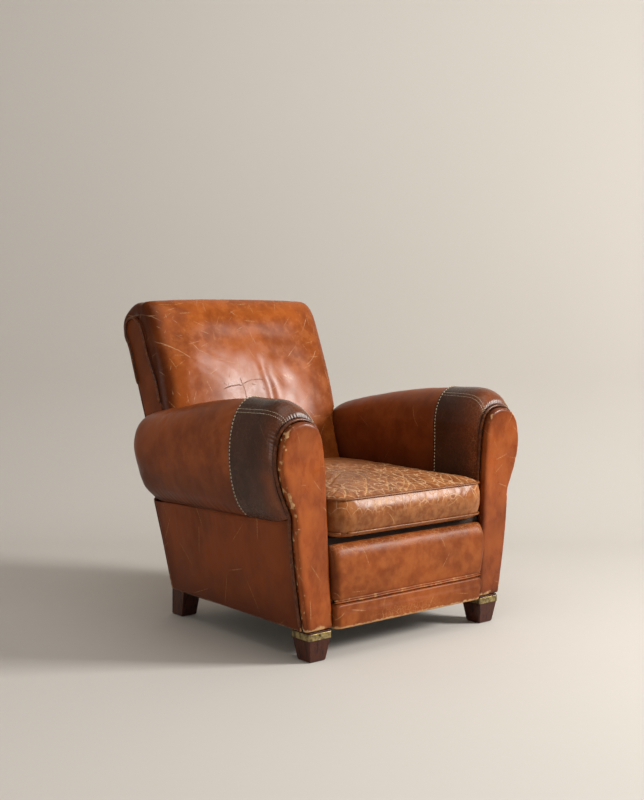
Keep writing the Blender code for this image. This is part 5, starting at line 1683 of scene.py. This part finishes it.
SPRINGS = [sum(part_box(f"seat_spring_{number}"), Vector()).xy / 2 for number in range(1, 10)]
dust = hung_copy("cloth_dust_cover", "dust_cover", dust_cloth, "dust_cloth", dust_sag)
burlap = hung_copy("cloth_hessian", "spring_cover", hessian, "hessian", hessian_dips)
hung_copy("straps_seat", "seat_webbing", strap_cloth, "webbing", strap_waves)
hung_copy("straps_back", "back_webbing", strap_cloth, "webbing", back_strap_waves)
for obj in (dust, burlap):
    area = sum(face.area for face in obj.data.polygons) / 2
    print(obj.name, len(obj.data.polygons), "faces,", round(area, 3), "m2")

# %% [markdown]
# ## Floor, light and camera
# A sweep of pale paper is floor and wall in one, and it is clear from behind, so that every side of
# the chair can be looked at. A large soft light from the right and in front gives the sheen on the
# back and the cushion, and a broad one overhead fills the shadows.
# %% The sweep
YAW = math.radians(40.05)
PITCH = math.radians(4.01)
CAMERA = Vector((-2.0513, -2.5188, 0.7932))
ahead = Vector((math.sin(YAW), math.cos(YAW), 0))
sideways = Vector((math.cos(YAW), -math.sin(YAW), 0))
SWEEP_START = -2.5
SWEEP_HALF = 6.0
WALL = 4.75
WALL_TOP = 5.0
CURVE = 0.55
paper_line = [(SWEEP_START, 0.0)]
for step in range(17):
    angle = math.radians(90) * step / 16
    paper_line.append((WALL - CURVE + CURVE * math.sin(angle), CURVE - CURVE * math.cos(angle)))
paper_line.append((WALL, WALL_TOP))
rows = []
for far, height in paper_line:
    middle = Vector((CAMERA.x, CAMERA.y, 0)) + ahead * far + Vector((0, 0, height))
    rows.append([middle - sideways * SWEEP_HALF, middle + sideways * SWEEP_HALF])
sweep = piece("paper_sweep", np.array(rows), band_faces(0, len(rows), 2, False))
sweep.data.flip_normals()
paper, tree, shader, spot = new_material("paper")
wire(tree, shader, {
    "Base Color": blend(tree, noise_at(tree, spot, 0.9), (0.60, 0.575, 0.54, 1), (0.63, 0.605, 0.57, 1)),
    "Roughness": ramp(tree, noise_at(tree, spot, 40.0), 0.3, 0.7, 0.75, 0.85),
})
from_behind = add(tree, "NewGeometry").outputs["Backfacing"]
clear = add(tree, "BsdfTransparent").outputs["BSDF"]
both = add(tree, "MixShader", {0: from_behind, 1: shader.outputs["BSDF"], 2: clear}).outputs["Shader"]
tree.links.new(both, tree.nodes["Material Output"].inputs["Surface"])
sweep.data.materials.append(paper)
print("wall is", WALL, "m from the camera")

# %% [markdown]
# Area lights are the studio's soft boxes. Their size sets how soft a shadow is, and their place sets
# where the leather shines.
# %% Lights and camera
def soft_box(name, place, target, size, power, warmth=(1.0, 0.97, 0.93)):
    light = bpy.data.lights.new(name, "AREA")
    light.shape = "RECTANGLE"
    light.size, light.size_y = size
    light.energy = power
    light.color = warmth
    obj = bpy.data.objects.new(name, light)
    bpy.context.scene.collection.objects.link(obj)
    obj.location = place
    obj.rotation_mode = "QUATERNION"
    obj.rotation_quaternion = (Vector(target) - Vector(place)).to_track_quat("-Z", "Y")
    return obj


soft_box("key", (2.66, -3.05, 2.15), (-3.4, -1.5, 0.4), (1.2, 1.1), 265)
soft_box("side", (-6.0, 0.5, 0.8), (0.0, 0.0, 0.35), (3.0, 1.4), 50)
soft_box("overhead", (-0.3, -1.0, 2.8), (0.0, 0.1, 0.2), (2.4, 2.2), 26)
world = bpy.data.worlds.new("studio")
bpy.context.scene.world = world
world.use_nodes = True
world.node_tree.nodes["Background"].inputs["Color"].default_value = (1.0, 0.91, 0.80, 1)
world.node_tree.nodes["Background"].inputs["Strength"].default_value = 0.24
camera = bpy.data.objects.new("camera", bpy.data.cameras.new("camera"))
bpy.context.scene.collection.objects.link(camera)
camera.location = CAMERA
camera.rotation_mode = "QUATERNION"
looking = ahead * math.cos(PITCH) - Vector((0, 0, math.sin(PITCH)))
camera.rotation_quaternion = looking.to_track_quat("-Z", "Y")
camera.data.sensor_width = 36.0
camera.data.lens = 55.38
bpy.context.scene.camera = camera
print("camera looks", round(math.degrees(PITCH), 1), "degrees down")
